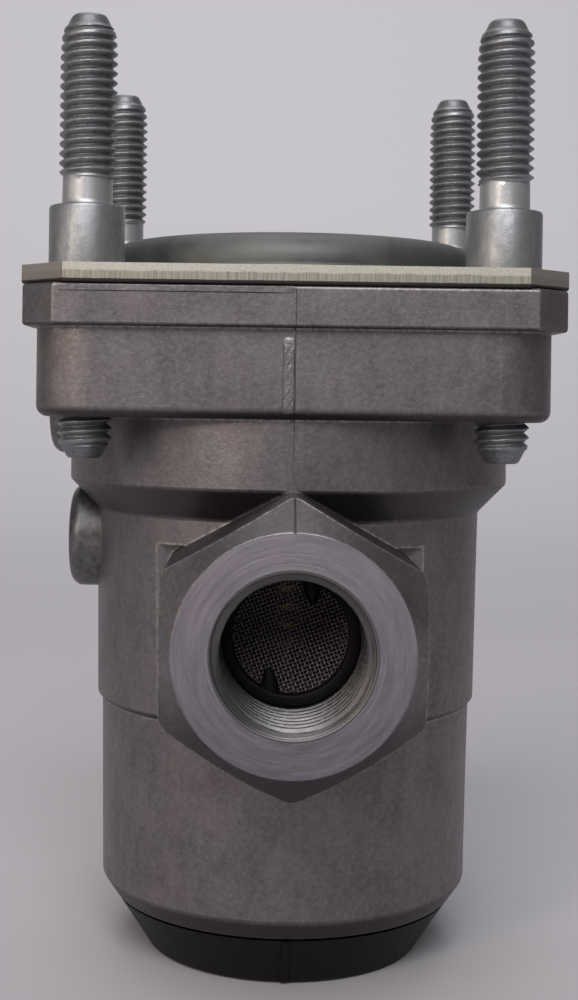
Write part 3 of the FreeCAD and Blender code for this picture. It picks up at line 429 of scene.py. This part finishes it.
def port_sleeve(outward):
    """The threaded wall of a port, looking along outward (-1 to the front, 1 to the back).
    Radius at depth d and angle a: root - (root - crest) * profile(-d / pitch - a / turn), but
    never inside the countersink's cone mouth - step - d; it is closed by a plain outer wall."""
    depth = np.linspace(0, PORT_THREAD_DEPTH, 170)
    angle = np.linspace(0, TAU, 144, endpoint=False)
    phase = -depth[:, None] / PORT_PITCH - angle[None] / TAU
    thread = PORT_ROOT - (PORT_ROOT - PORT_CREST) * thread_profile(phase)
    cone = np.maximum(PORT_MOUTH - PORT_STEP - depth, PORT_CREST)[:, None]
    inner = np.maximum(thread, cone)
    inner[0] = PORT_MOUTH
    wall_depth = np.array([PORT_THREAD_DEPTH, PORT_RIM_DEPTH, PORT_RIM_DEPTH, 0, 0])
    wall = np.array([PORT_OUTSIDE[1], PORT_OUTSIDE[1], PORT_OUTSIDE[0], PORT_OUTSIDE[0], PORT_MOUTH])
    radius = np.concatenate([inner, np.broadcast_to(wall[:, None], (5, angle.size))])
    d = np.concatenate([depth, wall_depth])[:, None]
    points = np.stack([radius * np.cos(angle) * -outward,
                       np.broadcast_to(outward * (PORT_REACH - d), radius.shape),
                       PORT_HEIGHT + radius * np.sin(angle)], -1)
    count = len(d)
    return points.reshape(-1, 3), grid_faces(count, angle.size, True)


def turned_port_material():
    """Bright turned aluminium, with fine rings along the bore and painted shade in the thread roots."""
    material, tree, shader, place = new_material("turned_port", metallic=BARE_METAL)
    radius, reach = port_distance(tree, place)
    rings = tool_marks(tree, maths(tree, "ADD", radius, reach), 0.08 * MM)
    smears = ramp(tree, noise(tree, place, 1.2 * MM, 4.0), 0.35, 0.7)
    bright = mixed(tree, ramp(tree, rings, 0.3, 0.7), PORT_DARK, PORT_PALE)
    bright = mixed(tree, maths(tree, "MULTIPLY", smears, 0.3), bright, PORT_SMEAR)
    # Painted shade in the thread roots, inside the port.
    root_shade = ramp(tree, radius, PORT_ROOT - 0.3 * MM, PORT_ROOT - 0.05 * MM)
    inside = ramp(tree, reach, PORT_REACH - 0.9 * MM, PORT_REACH - 1.2 * MM)
    shaded_roots = maths(tree, "MULTIPLY", maths(tree, "MULTIPLY", root_shade, inside), 0.85)
    colour = mixed(tree, shaded_roots, bright, PORT_SHADE)
    # Painted shade: a dark line along the step.
    step_line = maths(tree, "ABSOLUTE", maths(tree, "SUBTRACT", radius, PORT_MOUTH - PORT_STEP))
    step_line = maths(tree, "MULTIPLY", ramp(tree, step_line, 0.07 * MM, 0.03 * MM),
                      ramp(tree, reach, PORT_REACH - 0.3 * MM, PORT_REACH - 0.1 * MM))
    colour = mixed(tree, step_line, colour, PORT_SHADE)
    feed(tree, shader, Base_Color=colour, Height=rings, depth=0.004 * MM,
         Roughness=maths(tree, "MULTIPLY_ADD", smears, 0.1, TURNED_ROUGHNESS))
    return material


PORT_METAL = turned_port_material()
for side, outward in (("supply", -1), ("delivery", 1)):
    new_piece(side + "_port_thread", [port_sleeve(outward)], PORT_METAL, sharp=50)


# Valve insert: the guide, a brass inlet valve with its rubber face, round seals and a snap ring.
# They go in from below, and the exhaust cap then hides them.


def plain_metal(name, dark, pale, roughness, metallic=0.9, pit=0.12 * MM, depth=0.01 * MM):
    """Worked metal: fine grain between two tones, edges rubbed to the paler one."""
    material, tree, shader, place = new_material(name, metallic=metallic)
    grain = use_group(tree, GRAIN, Place=place, Pit_Size=pit, Blotch_Size=8 * pit)
    edge = use_group(tree, WORN_EDGE, Gain=2.0, Reach=0.2 * MM)["Edge"]
    tone = mixed(tree, ramp(tree, grain["Blotches"], 0.3, 0.7), dark, pale)
    feed(tree, shader, Base_Color=mixed(tree, edge, tone, pale), Height=grain["Height"], depth=depth,
         Roughness=maths(tree, "MULTIPLY_ADD", grain["Blotches"], 0.2, roughness - 0.1))
    return material


def soft_material(name, dark, pale, roughness, depth=0.01 * MM, sheen=0.5):
    """Rubber or plastic: an even tone with faint blotches and a fine orange peel."""
    material, tree, shader, place = new_material(name)
    shader.inputs["Specular IOR Level"].default_value = sheen
    grain = use_group(tree, GRAIN, Place=place, Pit_Size=0.15 * MM, Blotch_Size=1.5 * MM)
    tone = mixed(tree, ramp(tree, grain["Blotches"], 0.3, 0.7), dark, pale)
    feed(tree, shader, Base_Color=tone, Height=grain["Height"], depth=depth,
         Roughness=maths(tree, "MULTIPLY_ADD", grain["Blotches"], 0.2, roughness - 0.1))
    return material


RUBBER = soft_material("seal_rubber", (0.012, 0.012, 0.013, 1), (0.028, 0.027, 0.027, 1), 0.55)
BRASS = plain_metal("brass", (0.43, 0.27, 0.08, 1), (0.62, 0.43, 0.16, 1), 0.3)
TURNED_ALLOY = plain_metal("turned_alloy", (0.42, 0.42, 0.44, 1), (0.62, 0.62, 0.64, 1), 0.32)
SPRING_STEEL = plain_metal("spring_steel", (0.1, 0.1, 0.11, 1), (0.22, 0.22, 0.23, 1), 0.35)
SLIDE_PLASTIC = soft_material("slide_plastic", (0.5, 0.46, 0.38, 1), (0.62, 0.58, 0.5, 1), 0.45)
dress("valve_body", BRASS)
dress("valve_guide", TURNED_ALLOY)
dress("retaining_ring", SPRING_STEEL)
dress("return_spring", SPRING_STEEL)
for seal in ("valve_rubber", "guide_seal_ring", "tube_seal_ring"):
    dress(seal, RUBBER)


# Piston: a turned aluminium cup with a plastic guide band and a rubber seal ring. The regulating
# spring presses it down from a pressed steel seat under the spring cap.
dress("piston", TURNED_ALLOY)
dress("piston_guide_ring", SLIDE_PLASTIC)
dress("piston_seal_ring", RUBBER)
dress("regulating_spring", SPRING_STEEL)


# Spring cap: a shallow cup pressed from zinc plated sheet, its foot clamped under the plate.
# Just above the plate a thin line all round is painted bright, as a highlight.
CAP_DARK, CAP_PALE, CAP_HIGHLIGHT = (0.088, 0.093, 0.09, 1), (0.136, 0.141, 0.135, 1), (0.8, 0.82, 0.84, 1)
FOOT_LINE = 77.26 * MM


def plated_sheet(name, dark, pale, roughness):
    """Plated steel sheet: a cloudy film with specks and faint upright drawing lines, and a painted
    highlight below the foot line."""
    material, tree, shader, place = new_material(name, metallic=BARE_METAL)
    clouds = ramp(tree, noise(tree, place, 5 * MM, 4.0, 0.65), 0.3, 0.7)
    specks = ramp(tree, noise(tree, place, 0.25 * MM, 2.0), 0.55, 0.75)
    tone = mixed(tree, clouds, dark, pale)
    tone = mixed(tree, maths(tree, "MULTIPLY", specks, 0.3), tone, dark)
    height = coordinates(tree, place)["Z"]
    # Painted highlight: a bright line below the foot line.
    tone = mixed(tree, ramp(tree, height, FOOT_LINE + 0.1 * MM, FOOT_LINE), tone, CAP_HIGHLIGHT)
    feed(tree, shader, Base_Color=tone, depth=0.01 * MM,
         Height=noise(tree, place, 0.3 * MM, 3.0, 0.6, (1, 1, 0.3)),
         Roughness=maths(tree, "MULTIPLY_ADD", clouds, 0.12, roughness - 0.06))
    return material


CAP_SHEET = plated_sheet("cap_sheet", CAP_DARK, CAP_PALE, 0.58)
dress("spring_cap", CAP_SHEET)
dress("spring_seat", CAP_SHEET)


# Clamp plate: blanked from 2 mm steel and plated pale yellow-grey. The punch leaves a grainy
# sheared band at the top of its edge and fine upright scores below.
PLATE_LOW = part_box("clamp_plate")[0].z
PLATE_DARK, PLATE_MIDDLE = (0.22, 0.208, 0.172, 1), (0.35, 0.333, 0.28, 1)
PLATE_PALE = (0.53, 0.508, 0.444, 1)
PLATE_CORNER_SHADE, PLATE_ROLL_SHADE = (0.2, 0.175, 0.16, 1), (0.035, 0.03, 0.028, 1)
ROLL_LINE, BREAK_LINE = PLATE_LOW + 0.42 * MM, PLATE_LOW + 1.2 * MM


def blanked_plate():
    """Pale plated steel: its edge has a torn gritty band on top, fine upright scores below and, at
    the bottom, a rolled-in lip painted dark as shade. The faces of the cut corners are painted darker,
    as shade."""
    material, tree, shader, place = new_material("blanked_plate", metallic=0.45)
    height = coordinates(tree, place)["Z"]
    waver = maths(tree, "MULTIPLY_ADD", noise(tree, place, 1.5 * MM, 3.0), 0.4 * MM, -0.2 * MM)
    level = maths(tree, "SUBTRACT", height, waver)
    torn = ramp(tree, level, BREAK_LINE - 0.08 * MM, BREAK_LINE + 0.08 * MM)
    lip = maths(tree, "MULTIPLY_ADD", waver, 0.3, height)
    # Painted shade: the rolled-in lip at the bottom of the edge is darkened.
    rolled_lip_shade = ramp(tree, lip, ROLL_LINE, ROLL_LINE - 0.06 * MM)
    scores = noise(tree, place, 0.11 * MM, 2.0, 0.5, (1, 1, 0.04))
    grit = noise(tree, place, 0.14 * MM, 3.0, 0.7)
    scored = mixed(tree, ramp(tree, scores, 0.35, 0.65), PLATE_DARK, PLATE_MIDDLE)
    gritty = mixed(tree, ramp(tree, grit, 0.3, 0.65), PLATE_MIDDLE, PLATE_PALE)
    edge = use_group(tree, WORN_EDGE, Gain=1.5, Reach=0.2 * MM)["Edge"]
    tone = mixed(tree, torn, scored, gritty)
    look = facing(tree)
    askew = maths(tree, "ABSOLUTE", maths(tree, "MULTIPLY", look["X"], look["Y"]))
    # Painted shade: faces of the cut corners are darkened.
    corner = ramp(tree, askew, 0.2, 0.4)
    tone = mixed(tree, maths(tree, "MULTIPLY", corner, 0.8), tone, PLATE_CORNER_SHADE)
    tone = mixed(tree, maths(tree, "MULTIPLY", edge, 0.6), tone, PLATE_PALE)
    tone = mixed(tree, rolled_lip_shade, tone, PLATE_ROLL_SHADE)
    feed(tree, shader, Base_Color=tone, depth=0.03 * MM,
         Height=add(tree, "ShaderNodeMix", i0=torn, i2=scores, i3=grit).outputs[0],
         Roughness=maths(tree, "MULTIPLY_ADD", grit, 0.2, 0.38))
    return material


dress("clamp_plate", blanked_plate())


# Collar studs: M6 studs with a turned collar, screwed through the flange so that their tails
# show below the block. They are steel with a dull zinc flake coat, bright on collar and neck.
STUD_OFFSET = 21.75 * MM
STUD_PITCH = 1.0 * MM
STUD_TAIL, STUD_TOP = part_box("stud_front_left")[0].z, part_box("stud_front_left")[1].z
COLLAR_LOW, COLLAR_TOP = 76.8 * MM, 83.1 * MM
COLLAR_RADIUS, NECK_WAIST, NECK_TOP = 3.95 * MM, 2.6 * MM, 86.0 * MM
THREAD_CREST, THREAD_ROOT = 2.99 * MM, 2.46 * MM
TAIL_CREST, TAIL_ROOT = 2.83 * MM, 2.36 * MM
TIP_RADIUS = 1.5 * MM
START_STEP = 0.31
# A stud's rounded ends: how far from the end, and the most that the radius may be there.
TAPER_REACH = np.array((0, 0.05, 0.15, 0.35, 1.0, 1.2, 1.44, 2.25, 3.3, 4.7)) * MM
TAPER_RADIUS = np.array((1.5, 1.66, 1.78, 1.92, 2.23, 2.35, 2.6, 2.84, 2.92, 3.0)) * MM
ZINC_SHADE, ZINC_MIDDLE = (0.13, 0.13, 0.138, 1), (0.218, 0.222, 0.233, 1)
ZINC_PALE, ZINC_BRIGHT = (0.305, 0.309, 0.322, 1), (0.66, 0.665, 0.68, 1)


def threaded_rows(low, high, crest, root):
    """Heights and the two limiting radii of a threaded stretch, 18 rows to a turn of thread."""
    height = np.arange(low, high, STUD_PITCH / 18)
    return np.stack([height, np.full_like(height, crest), np.full_like(height, root)], 1)


def plain_rows(*corners):
    """Corners (height, radius) of a plain stretch, as rows of height, radius, radius."""
    return np.array([(height, radius, radius) for height, radius in corners])


def stud_shell(across, depth, start):
    """A stud turned about (across, depth). Rows run from tail to tip; at angle a a row's radius
    is root + (crest - root) * profile(height / pitch - a / turn + start). The upper thread runs
    out towards the neck, and near each end the radius is kept inside the taper."""
    rows = np.concatenate([
        plain_rows((STUD_TAIL, TIP_RADIUS * 0.96)),
        threaded_rows(STUD_TAIL + 0.04 * MM, BLOCK_LOW + MM, TAIL_CREST, TAIL_ROOT),
        plain_rows((BLOCK_LOW + 1.1 * MM, TAIL_CREST), (COLLAR_LOW, TAIL_CREST),
                   (COLLAR_LOW, COLLAR_RADIUS - 0.12 * MM), (COLLAR_LOW + 0.12 * MM, COLLAR_RADIUS),
                   (COLLAR_TOP - 0.35 * MM, COLLAR_RADIUS),
                   (COLLAR_TOP - 0.1 * MM, COLLAR_RADIUS - 0.1 * MM),
                   (COLLAR_TOP, COLLAR_RADIUS - 0.35 * MM), (COLLAR_TOP, NECK_WAIST + 0.3 * MM),
                   (COLLAR_TOP + 0.09 * MM, NECK_WAIST + 0.14 * MM)),
        plain_rows(*zip(np.linspace(COLLAR_TOP + 0.3 * MM, NECK_TOP - 0.1 * MM, 8),
                        NECK_WAIST + np.linspace(0.1, 0, 8) ** 1.5 * MM)),
        threaded_rows(NECK_TOP, STUD_TOP - 0.02 * MM, THREAD_CREST, THREAD_ROOT),
        plain_rows((STUD_TOP - 0.01 * MM, TIP_RADIUS * 0.9)),
    ])
    height, crest, root = rows.T[:, :, None]
    angle = np.linspace(0, TAU, 60, endpoint=False)[None]
    profile = thread_profile(height / STUD_PITCH - angle / TAU + start)
    radius = root + (crest - root) * profile
    runout = np.clip((height - NECK_TOP) / (0.6 * MM), 0, 1)
    radius = np.where(height > NECK_TOP, NECK_WAIST + (radius - NECK_WAIST) * runout, radius)
    from_end = np.minimum(STUD_TOP - height, height - STUD_TAIL)
    taper = np.interp(from_end, TAPER_REACH, TAPER_RADIUS, right=1)
    radius = np.minimum(radius, taper)
    points = np.stack([across + radius * np.cos(angle), depth + radius * np.sin(angle),
                       np.broadcast_to(height, radius.shape)], -1)
    return closed_tube(points)


def zinc_flake():
    """Dull zinc flake coat, bright on the neck, with specks of dirt in the threads. The thread roots
    and the collar's rim are painted dark, as shade."""
    material, tree, shader, place = new_material("zinc_flake", metallic=0.75)
    apart = coordinates(tree, place)
    across = maths(tree, "SUBTRACT", maths(tree, "ABSOLUTE", apart["X"]), STUD_OFFSET)
    deep = maths(tree, "SUBTRACT", maths(tree, "ABSOLUTE", apart["Y"]), STUD_OFFSET)
    radius = diagonal(tree, across, deep)
    grain = use_group(tree, GRAIN, Place=place, Pit_Size=0.13 * MM, Blotch_Size=0.7 * MM)
    streaks = ramp(tree, noise(tree, place, 0.7 * MM, 4.0, 0.6, (1, 1, 0.6)), 0.3, 0.7)
    tone = mixed(tree, streaks, ZINC_MIDDLE, ZINC_PALE)
    neck = maths(tree, "MULTIPLY", ramp(tree, apart["Z"], COLLAR_TOP + 0.1 * MM, COLLAR_TOP + 0.3 * MM),
                 ramp(tree, apart["Z"], NECK_TOP + 0.4 * MM, NECK_TOP))
    tone = mixed(tree, maths(tree, "MULTIPLY", neck, 0.45), tone, ZINC_BRIGHT)
    threaded = maths(tree, "MAXIMUM", ramp(tree, apart["Z"], NECK_TOP, NECK_TOP + 0.4 * MM),
                     ramp(tree, apart["Z"], BLOCK_LOW + MM, BLOCK_LOW))
    # Painted shade in the thread roots.
    painted_root_shade = ramp(tree, radius, THREAD_CREST - 0.05 * MM, THREAD_ROOT + 0.05 * MM)
    tone = mixed(tree, maths(tree, "MULTIPLY", maths(tree, "MULTIPLY", painted_root_shade, threaded), 0.6), tone,
                 ZINC_SHADE)
    # Painted shade: a dark line along the collar's rim.
    painted_rim_shade = ramp(tree, maths(tree, "ABSOLUTE", maths(tree, "SUBTRACT", apart["Z"], COLLAR_TOP)),
               0.16 * MM, 0.06 * MM)
    tone = mixed(tree, maths(tree, "MULTIPLY", painted_rim_shade, 0.75), tone, ZINC_SHADE)
    dirt = ramp(tree, noise(tree, place, 0.35 * MM, 3.0, 0.7), 0.6, 0.68)
    tone = mixed(tree, maths(tree, "MULTIPLY", dirt, maths(tree, "MULTIPLY", threaded, 0.75)), tone,
                 (0.02, 0.018, 0.018, 1))
    feed(tree, shader, Base_Color=tone, Height=grain["Height"], depth=0.025 * MM,
         Roughness=maths(tree, "MULTIPLY_ADD", streaks, -0.08, 0.46))
    return material


ZINC_FLAKE = zinc_flake()
corners = (("front_left", -1, -1), ("front_right", 1, -1), ("back_left", -1, 1), ("back_right", 1, 1))
for number, (name, across, depth) in enumerate(corners):
    shell = stud_shell(across * STUD_OFFSET, depth * STUD_OFFSET, number * START_STEP)
    stud = new_piece(f"threaded_stud_{name}", [shell], ZINC_FLAKE, sharp=40)
    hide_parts(f"stud_{name}")


# Side plugs: two zinc plated screw plugs with hexagon sockets close drillings on the left side,
# each pulled down on an aluminium washer.
PLUG_STEEL = plain_metal("plug_steel", (0.09, 0.086, 0.09, 1), (0.185, 0.181, 0.185, 1), 0.42, 0.85)
for level in ("lower", "upper"):
    dress(f"side_plug_{level}", PLUG_STEEL)
    dress(f"plug_washer_{level}", TURNED_ALLOY)


# Strainer: a disc of plain woven wire cloth lies at the bottom of the supply port, held down by
# a black plastic ring with two leaning flame-shaped tabs.
RING_BACK, RING_FRONT = -24.0 * MM, -25.5 * MM
RING_INNER, RING_OUTER, RING_ROUND = 5.95 * MM, 7.2 * MM, 0.25 * MM
CLOTH_PLANE, CLOTH_REACH = -23.82 * MM, 7.4 * MM
WIRE_PITCH, WIRE_RADIUS, WIRE_SWING = 0.395 * MM, 0.088 * MM, 0.085 * MM
WEAVE_TURN = math.radians(20)
TAB_SPINE = np.array(((2.2, 6.3), (1.95, 4.4), (2.35, 3.3))) * MM
TAB_HALF_WIDTH, TAB_HALF_THICKNESS = 1.0 * MM, 0.6 * MM


def cloth_wires():
    """Every wire of the cloth in one grid. Along wire number i of either set, at distance t,
    the wire stands swing * cos(pi * (t / pitch + i)) off the cloth's plane, and the two sets
    are half a wave apart, so that each wire passes over one and under the next."""
    steps = int(CLOTH_REACH / WIRE_PITCH)
    number = np.arange(-steps, steps + 1)[:, None, None]
    reach = np.sqrt(CLOTH_REACH ** 2 - (number * WIRE_PITCH) ** 2)
    t = np.linspace(-1, 1, 150)[None, :, None] * reach
    swing = WIRE_SWING * np.cos(math.pi * (t / WIRE_PITCH + number))
    turn = np.linspace(TAU, 0, 6, endpoint=False)[None, None]
    sets = []
    for sign in (1, -1):
        side = number * WIRE_PITCH + WIRE_RADIUS * np.cos(turn) * sign
        off = sign * swing + WIRE_RADIUS * np.sin(turn)
        along = np.broadcast_to(t, off.shape)
        across = np.broadcast_to(side, off.shape)
        first, second = (along, across) if sign > 0 else (across, along)
        x = first * math.cos(WEAVE_TURN) - second * math.sin(WEAVE_TURN)
        z = first * math.sin(WEAVE_TURN) + second * math.cos(WEAVE_TURN)
        grid = np.stack([x, CLOTH_PLANE + off, PORT_HEIGHT + z], -1)
        sets += [closed_tube(wire) for wire in grid]
    return sets


def strainer_band():
    """A turned ring about the port axis: its section is a rectangle with rounded front edges."""
    corner = np.linspace(0, math.pi / 2, 5)
    short_of_side, short_of_front = RING_ROUND * (1 - np.sin(corner)), RING_ROUND * (1 - np.cos(corner))
    outer = np.stack([RING_OUTER - short_of_side, RING_FRONT + short_of_front], 1)
    inner = np.stack([RING_INNER + short_of_front, RING_FRONT + short_of_side], 1)
    back = [(RING_OUTER, RING_BACK), (RING_INNER, RING_BACK)]
    section = np.concatenate([inner, outer, back, inner[:1]])
    angle = np.linspace(TAU, 0, 96, endpoint=False)
    radius, y = section.T[:, :, None]
    points = np.stack([radius * np.cos(angle), np.broadcast_to(y, (len(section), angle.size)),
                       PORT_HEIGHT + radius * np.sin(angle)], -1)
    return points.reshape(-1, 3), grid_faces(len(section), angle.size, True)


def strainer_tab(sign):
    """A flame: an ellipse carried along a bent spine (1-s)^2 a + 2s(1-s) b + s^2 c, its half
    width shrinking as sqrt(1 - s^1.6) towards the tip. sign -1 is the opposite tab."""
    s = np.linspace(0, 0.995, 26)[:, None]
    a, b, c = TAB_SPINE
    spine = (1 - s) ** 2 * a + 2 * s * (1 - s) * b + s ** 2 * c
    along = np.gradient(spine, axis=0)
    along /= np.linalg.norm(along, axis=1, keepdims=True)
    beside = np.stack([-along[:, 1], along[:, 0]], 1)
    turn = np.linspace(0, TAU, 20, endpoint=False)[None]
    shrink = np.sqrt(1 - s ** 1.6)
    wide = TAB_HALF_WIDTH * shrink * np.cos(turn)
    middle = (RING_FRONT + RING_BACK) / 2 - 0.1 * MM
    deep = middle - TAB_HALF_THICKNESS * shrink ** 0.5 * np.sin(turn)
    xz = spine[:, None] + wide[..., None] * beside[:, None]
    points = np.stack([sign * xz[..., 0], deep, PORT_HEIGHT + sign * xz[..., 1]], -1)
    return closed_tube(points)


WIRE = plain_metal("strainer_wire", (0.13, 0.105, 0.115, 1), (0.24, 0.2, 0.215, 1), 0.5, 0.5, 0.05 * MM)
RING_PLASTIC = soft_material("strainer_plastic", (0.003, 0.002, 0.002, 1), (0.006, 0.004, 0.004, 1), 0.6,
                             sheen=0.2)
cloth = new_piece("strainer_cloth", cloth_wires(), WIRE)
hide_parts("strainer_mesh")
band = new_piece("strainer_clip", [strainer_band(), strainer_tab(1), strainer_tab(-1)], RING_PLASTIC)
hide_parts("strainer_ring")


# Exhaust cap: a dished cover moulded in black plastic with one fine rib front and back, snapped
# into the housing's rim, and a soft rubber flap over its vents.
CAP_BLACK = soft_material("cap_plastic", (0.003, 0.002, 0.003, 1), (0.007, 0.005, 0.006, 1), 0.5,
                          0.02 * MM, 0.18)
dress("exhaust_cap", CAP_BLACK)
dress("exhaust_flap", RUBBER)


# Studio: the valve stands on a pale sheet that runs back and bends up into a backdrop. The
# camera looks level along +Y from 18 cm in front of the valve's axis; lens and shift frame it.
# Soft lamps stand above and in front, with two small warm ones to the left.
PHOTO_HEIGHT = 1000.0
PHOTO_CENTRE, SIGHT_POINT = (289.0, 500.0), (256.0, 394.0)
FOCAL_PIXELS = 1530.0
EYE = (-3.9 * MM, -181.3 * MM, 63.8 * MM)
CAMERA_ROLL = math.radians(-0.8)
SHEET_WALL_PAINTED_PALER, SHEET_FLOOR = (0.62, 0.605, 0.635, 1), (0.42, 0.405, 0.43, 1)
WALL_START, WALL_END = 0.25, 0.85
SHEET_HALF_WIDTH, SHEET_FRONT, BEND_START, BEND_RADIUS, SHEET_TOP = 2.0, -1.5, 0.45, 0.5, 1.8
VALVE_MIDDLE = np.array((0, 0, 50 * MM))
ROOM_COLOUR, ROOM_STRENGTH = (0.93, 0.95, 1.0, 1), 0.12
WARM, WARMER = (1.0, 0.88, 0.76), (1.0, 0.86, 0.72)

camera_data = bpy.data.cameras.new("camera")
camera_data.sensor_width = 36.0
camera_data.lens = FOCAL_PIXELS / PHOTO_HEIGHT * camera_data.sensor_width
camera_data.shift_x = (PHOTO_CENTRE[0] - SIGHT_POINT[0]) / PHOTO_HEIGHT
camera_data.shift_y = (SIGHT_POINT[1] - PHOTO_CENTRE[1]) / PHOTO_HEIGHT
camera_data.clip_start = 0.01
camera = bpy.data.objects.new("camera", camera_data)
camera.location = EYE
camera.rotation_euler = (math.pi / 2, CAMERA_ROLL, 0)
bpy.context.scene.collection.objects.link(camera)
bpy.context.scene.camera = camera
bpy.context.scene.view_settings.view_transform = "Standard"


def backdrop_sheet():
    """A floor that runs back, bends up through a quarter circle and rises as a wall."""
    turn = np.linspace(0, math.pi / 2, 32)
    depth = np.r_[SHEET_FRONT, BEND_START + BEND_RADIUS * np.sin(turn), BEND_START + BEND_RADIUS]
    height = np.r_[0, BEND_RADIUS * (1 - np.cos(turn)), SHEET_TOP]
    across = np.linspace(-SHEET_HALF_WIDTH, SHEET_HALF_WIDTH, 3)
    spread = (depth.size, across.size)
    points = np.stack([np.broadcast_to(across, spread), np.broadcast_to(depth[:, None], spread),
                       np.broadcast_to(height[:, None], spread)], -1).reshape(-1, 3)
    mesh = bpy.data.meshes.new("backdrop")
    mesh.from_pydata(points.tolist(), [], grid_faces(*spread)[:, ::-1].tolist())
    mesh.polygons.foreach_set("use_smooth", np.ones(len(mesh.polygons), bool))
    sheet = bpy.data.objects.new("backdrop", mesh)
    bpy.context.scene.collection.objects.link(sheet)
    return sheet


def pale_paper():
    """Matt paper, painted a little paler where the sheet rises behind the valve, as brighter light."""
    material, tree, shader, place = new_material("backdrop_sheet", roughness=0.9)
    shader.inputs["Specular IOR Level"].default_value = 0.1
    # Painted light: the rising wall is paler than the floor, standing in for the brighter light on it.
    rise = ramp(tree, coordinates(tree, place)["Y"], WALL_START, WALL_END)
    feed(tree, shader, Base_Color=mixed(tree, rise, SHEET_FLOOR, SHEET_WALL_PAINTED_PALER))
    return material


backdrop_sheet().data.materials.append(pale_paper())

world = bpy.data.worlds.new("room")
world.use_nodes = True
world.node_tree.nodes["Background"].inputs["Color"].default_value = ROOM_COLOUR
world.node_tree.nodes["Background"].inputs["Strength"].default_value = ROOM_STRENGTH
bpy.context.scene.world = world


def soft_box(name, spot, target, size, power, colour=(1, 1, 1)):
    """A square area lamp at spot that faces target."""
    data = bpy.data.lights.new(name, "AREA")
    data.size = size
    data.energy = power
    data.color = colour
    lamp = bpy.data.objects.new(name, data)
    lamp.location = spot
    aim = np.array(target) - np.array(spot)
    lamp.rotation_euler = (math.acos(-aim[2] / np.linalg.norm(aim)), 0,
                           math.atan2(aim[1], aim[0]) - math.pi / 2)
    bpy.context.scene.collection.objects.link(lamp)


soft_box("skylight", (-0.05, -0.68, 0.72), VALVE_MIDDLE, 0.65, 8.5)
soft_box("warm_glint", (-0.48, -0.64, 0.28), VALVE_MIDDLE, 0.14, 1.4, WARMER)
soft_box("side_glow", (-0.8, -0.3, 0.2), VALVE_MIDDLE, 0.2, 0.45, WARM)
soft_box("ceiling", (0.0, 0.1, 1.1), VALVE_MIDDLE, 1.2, 1.2)
soft_box("backdrop_wash", (0.0, 0.3, 1.0), (0, 0.8, 0.3), 0.6, 4.0)
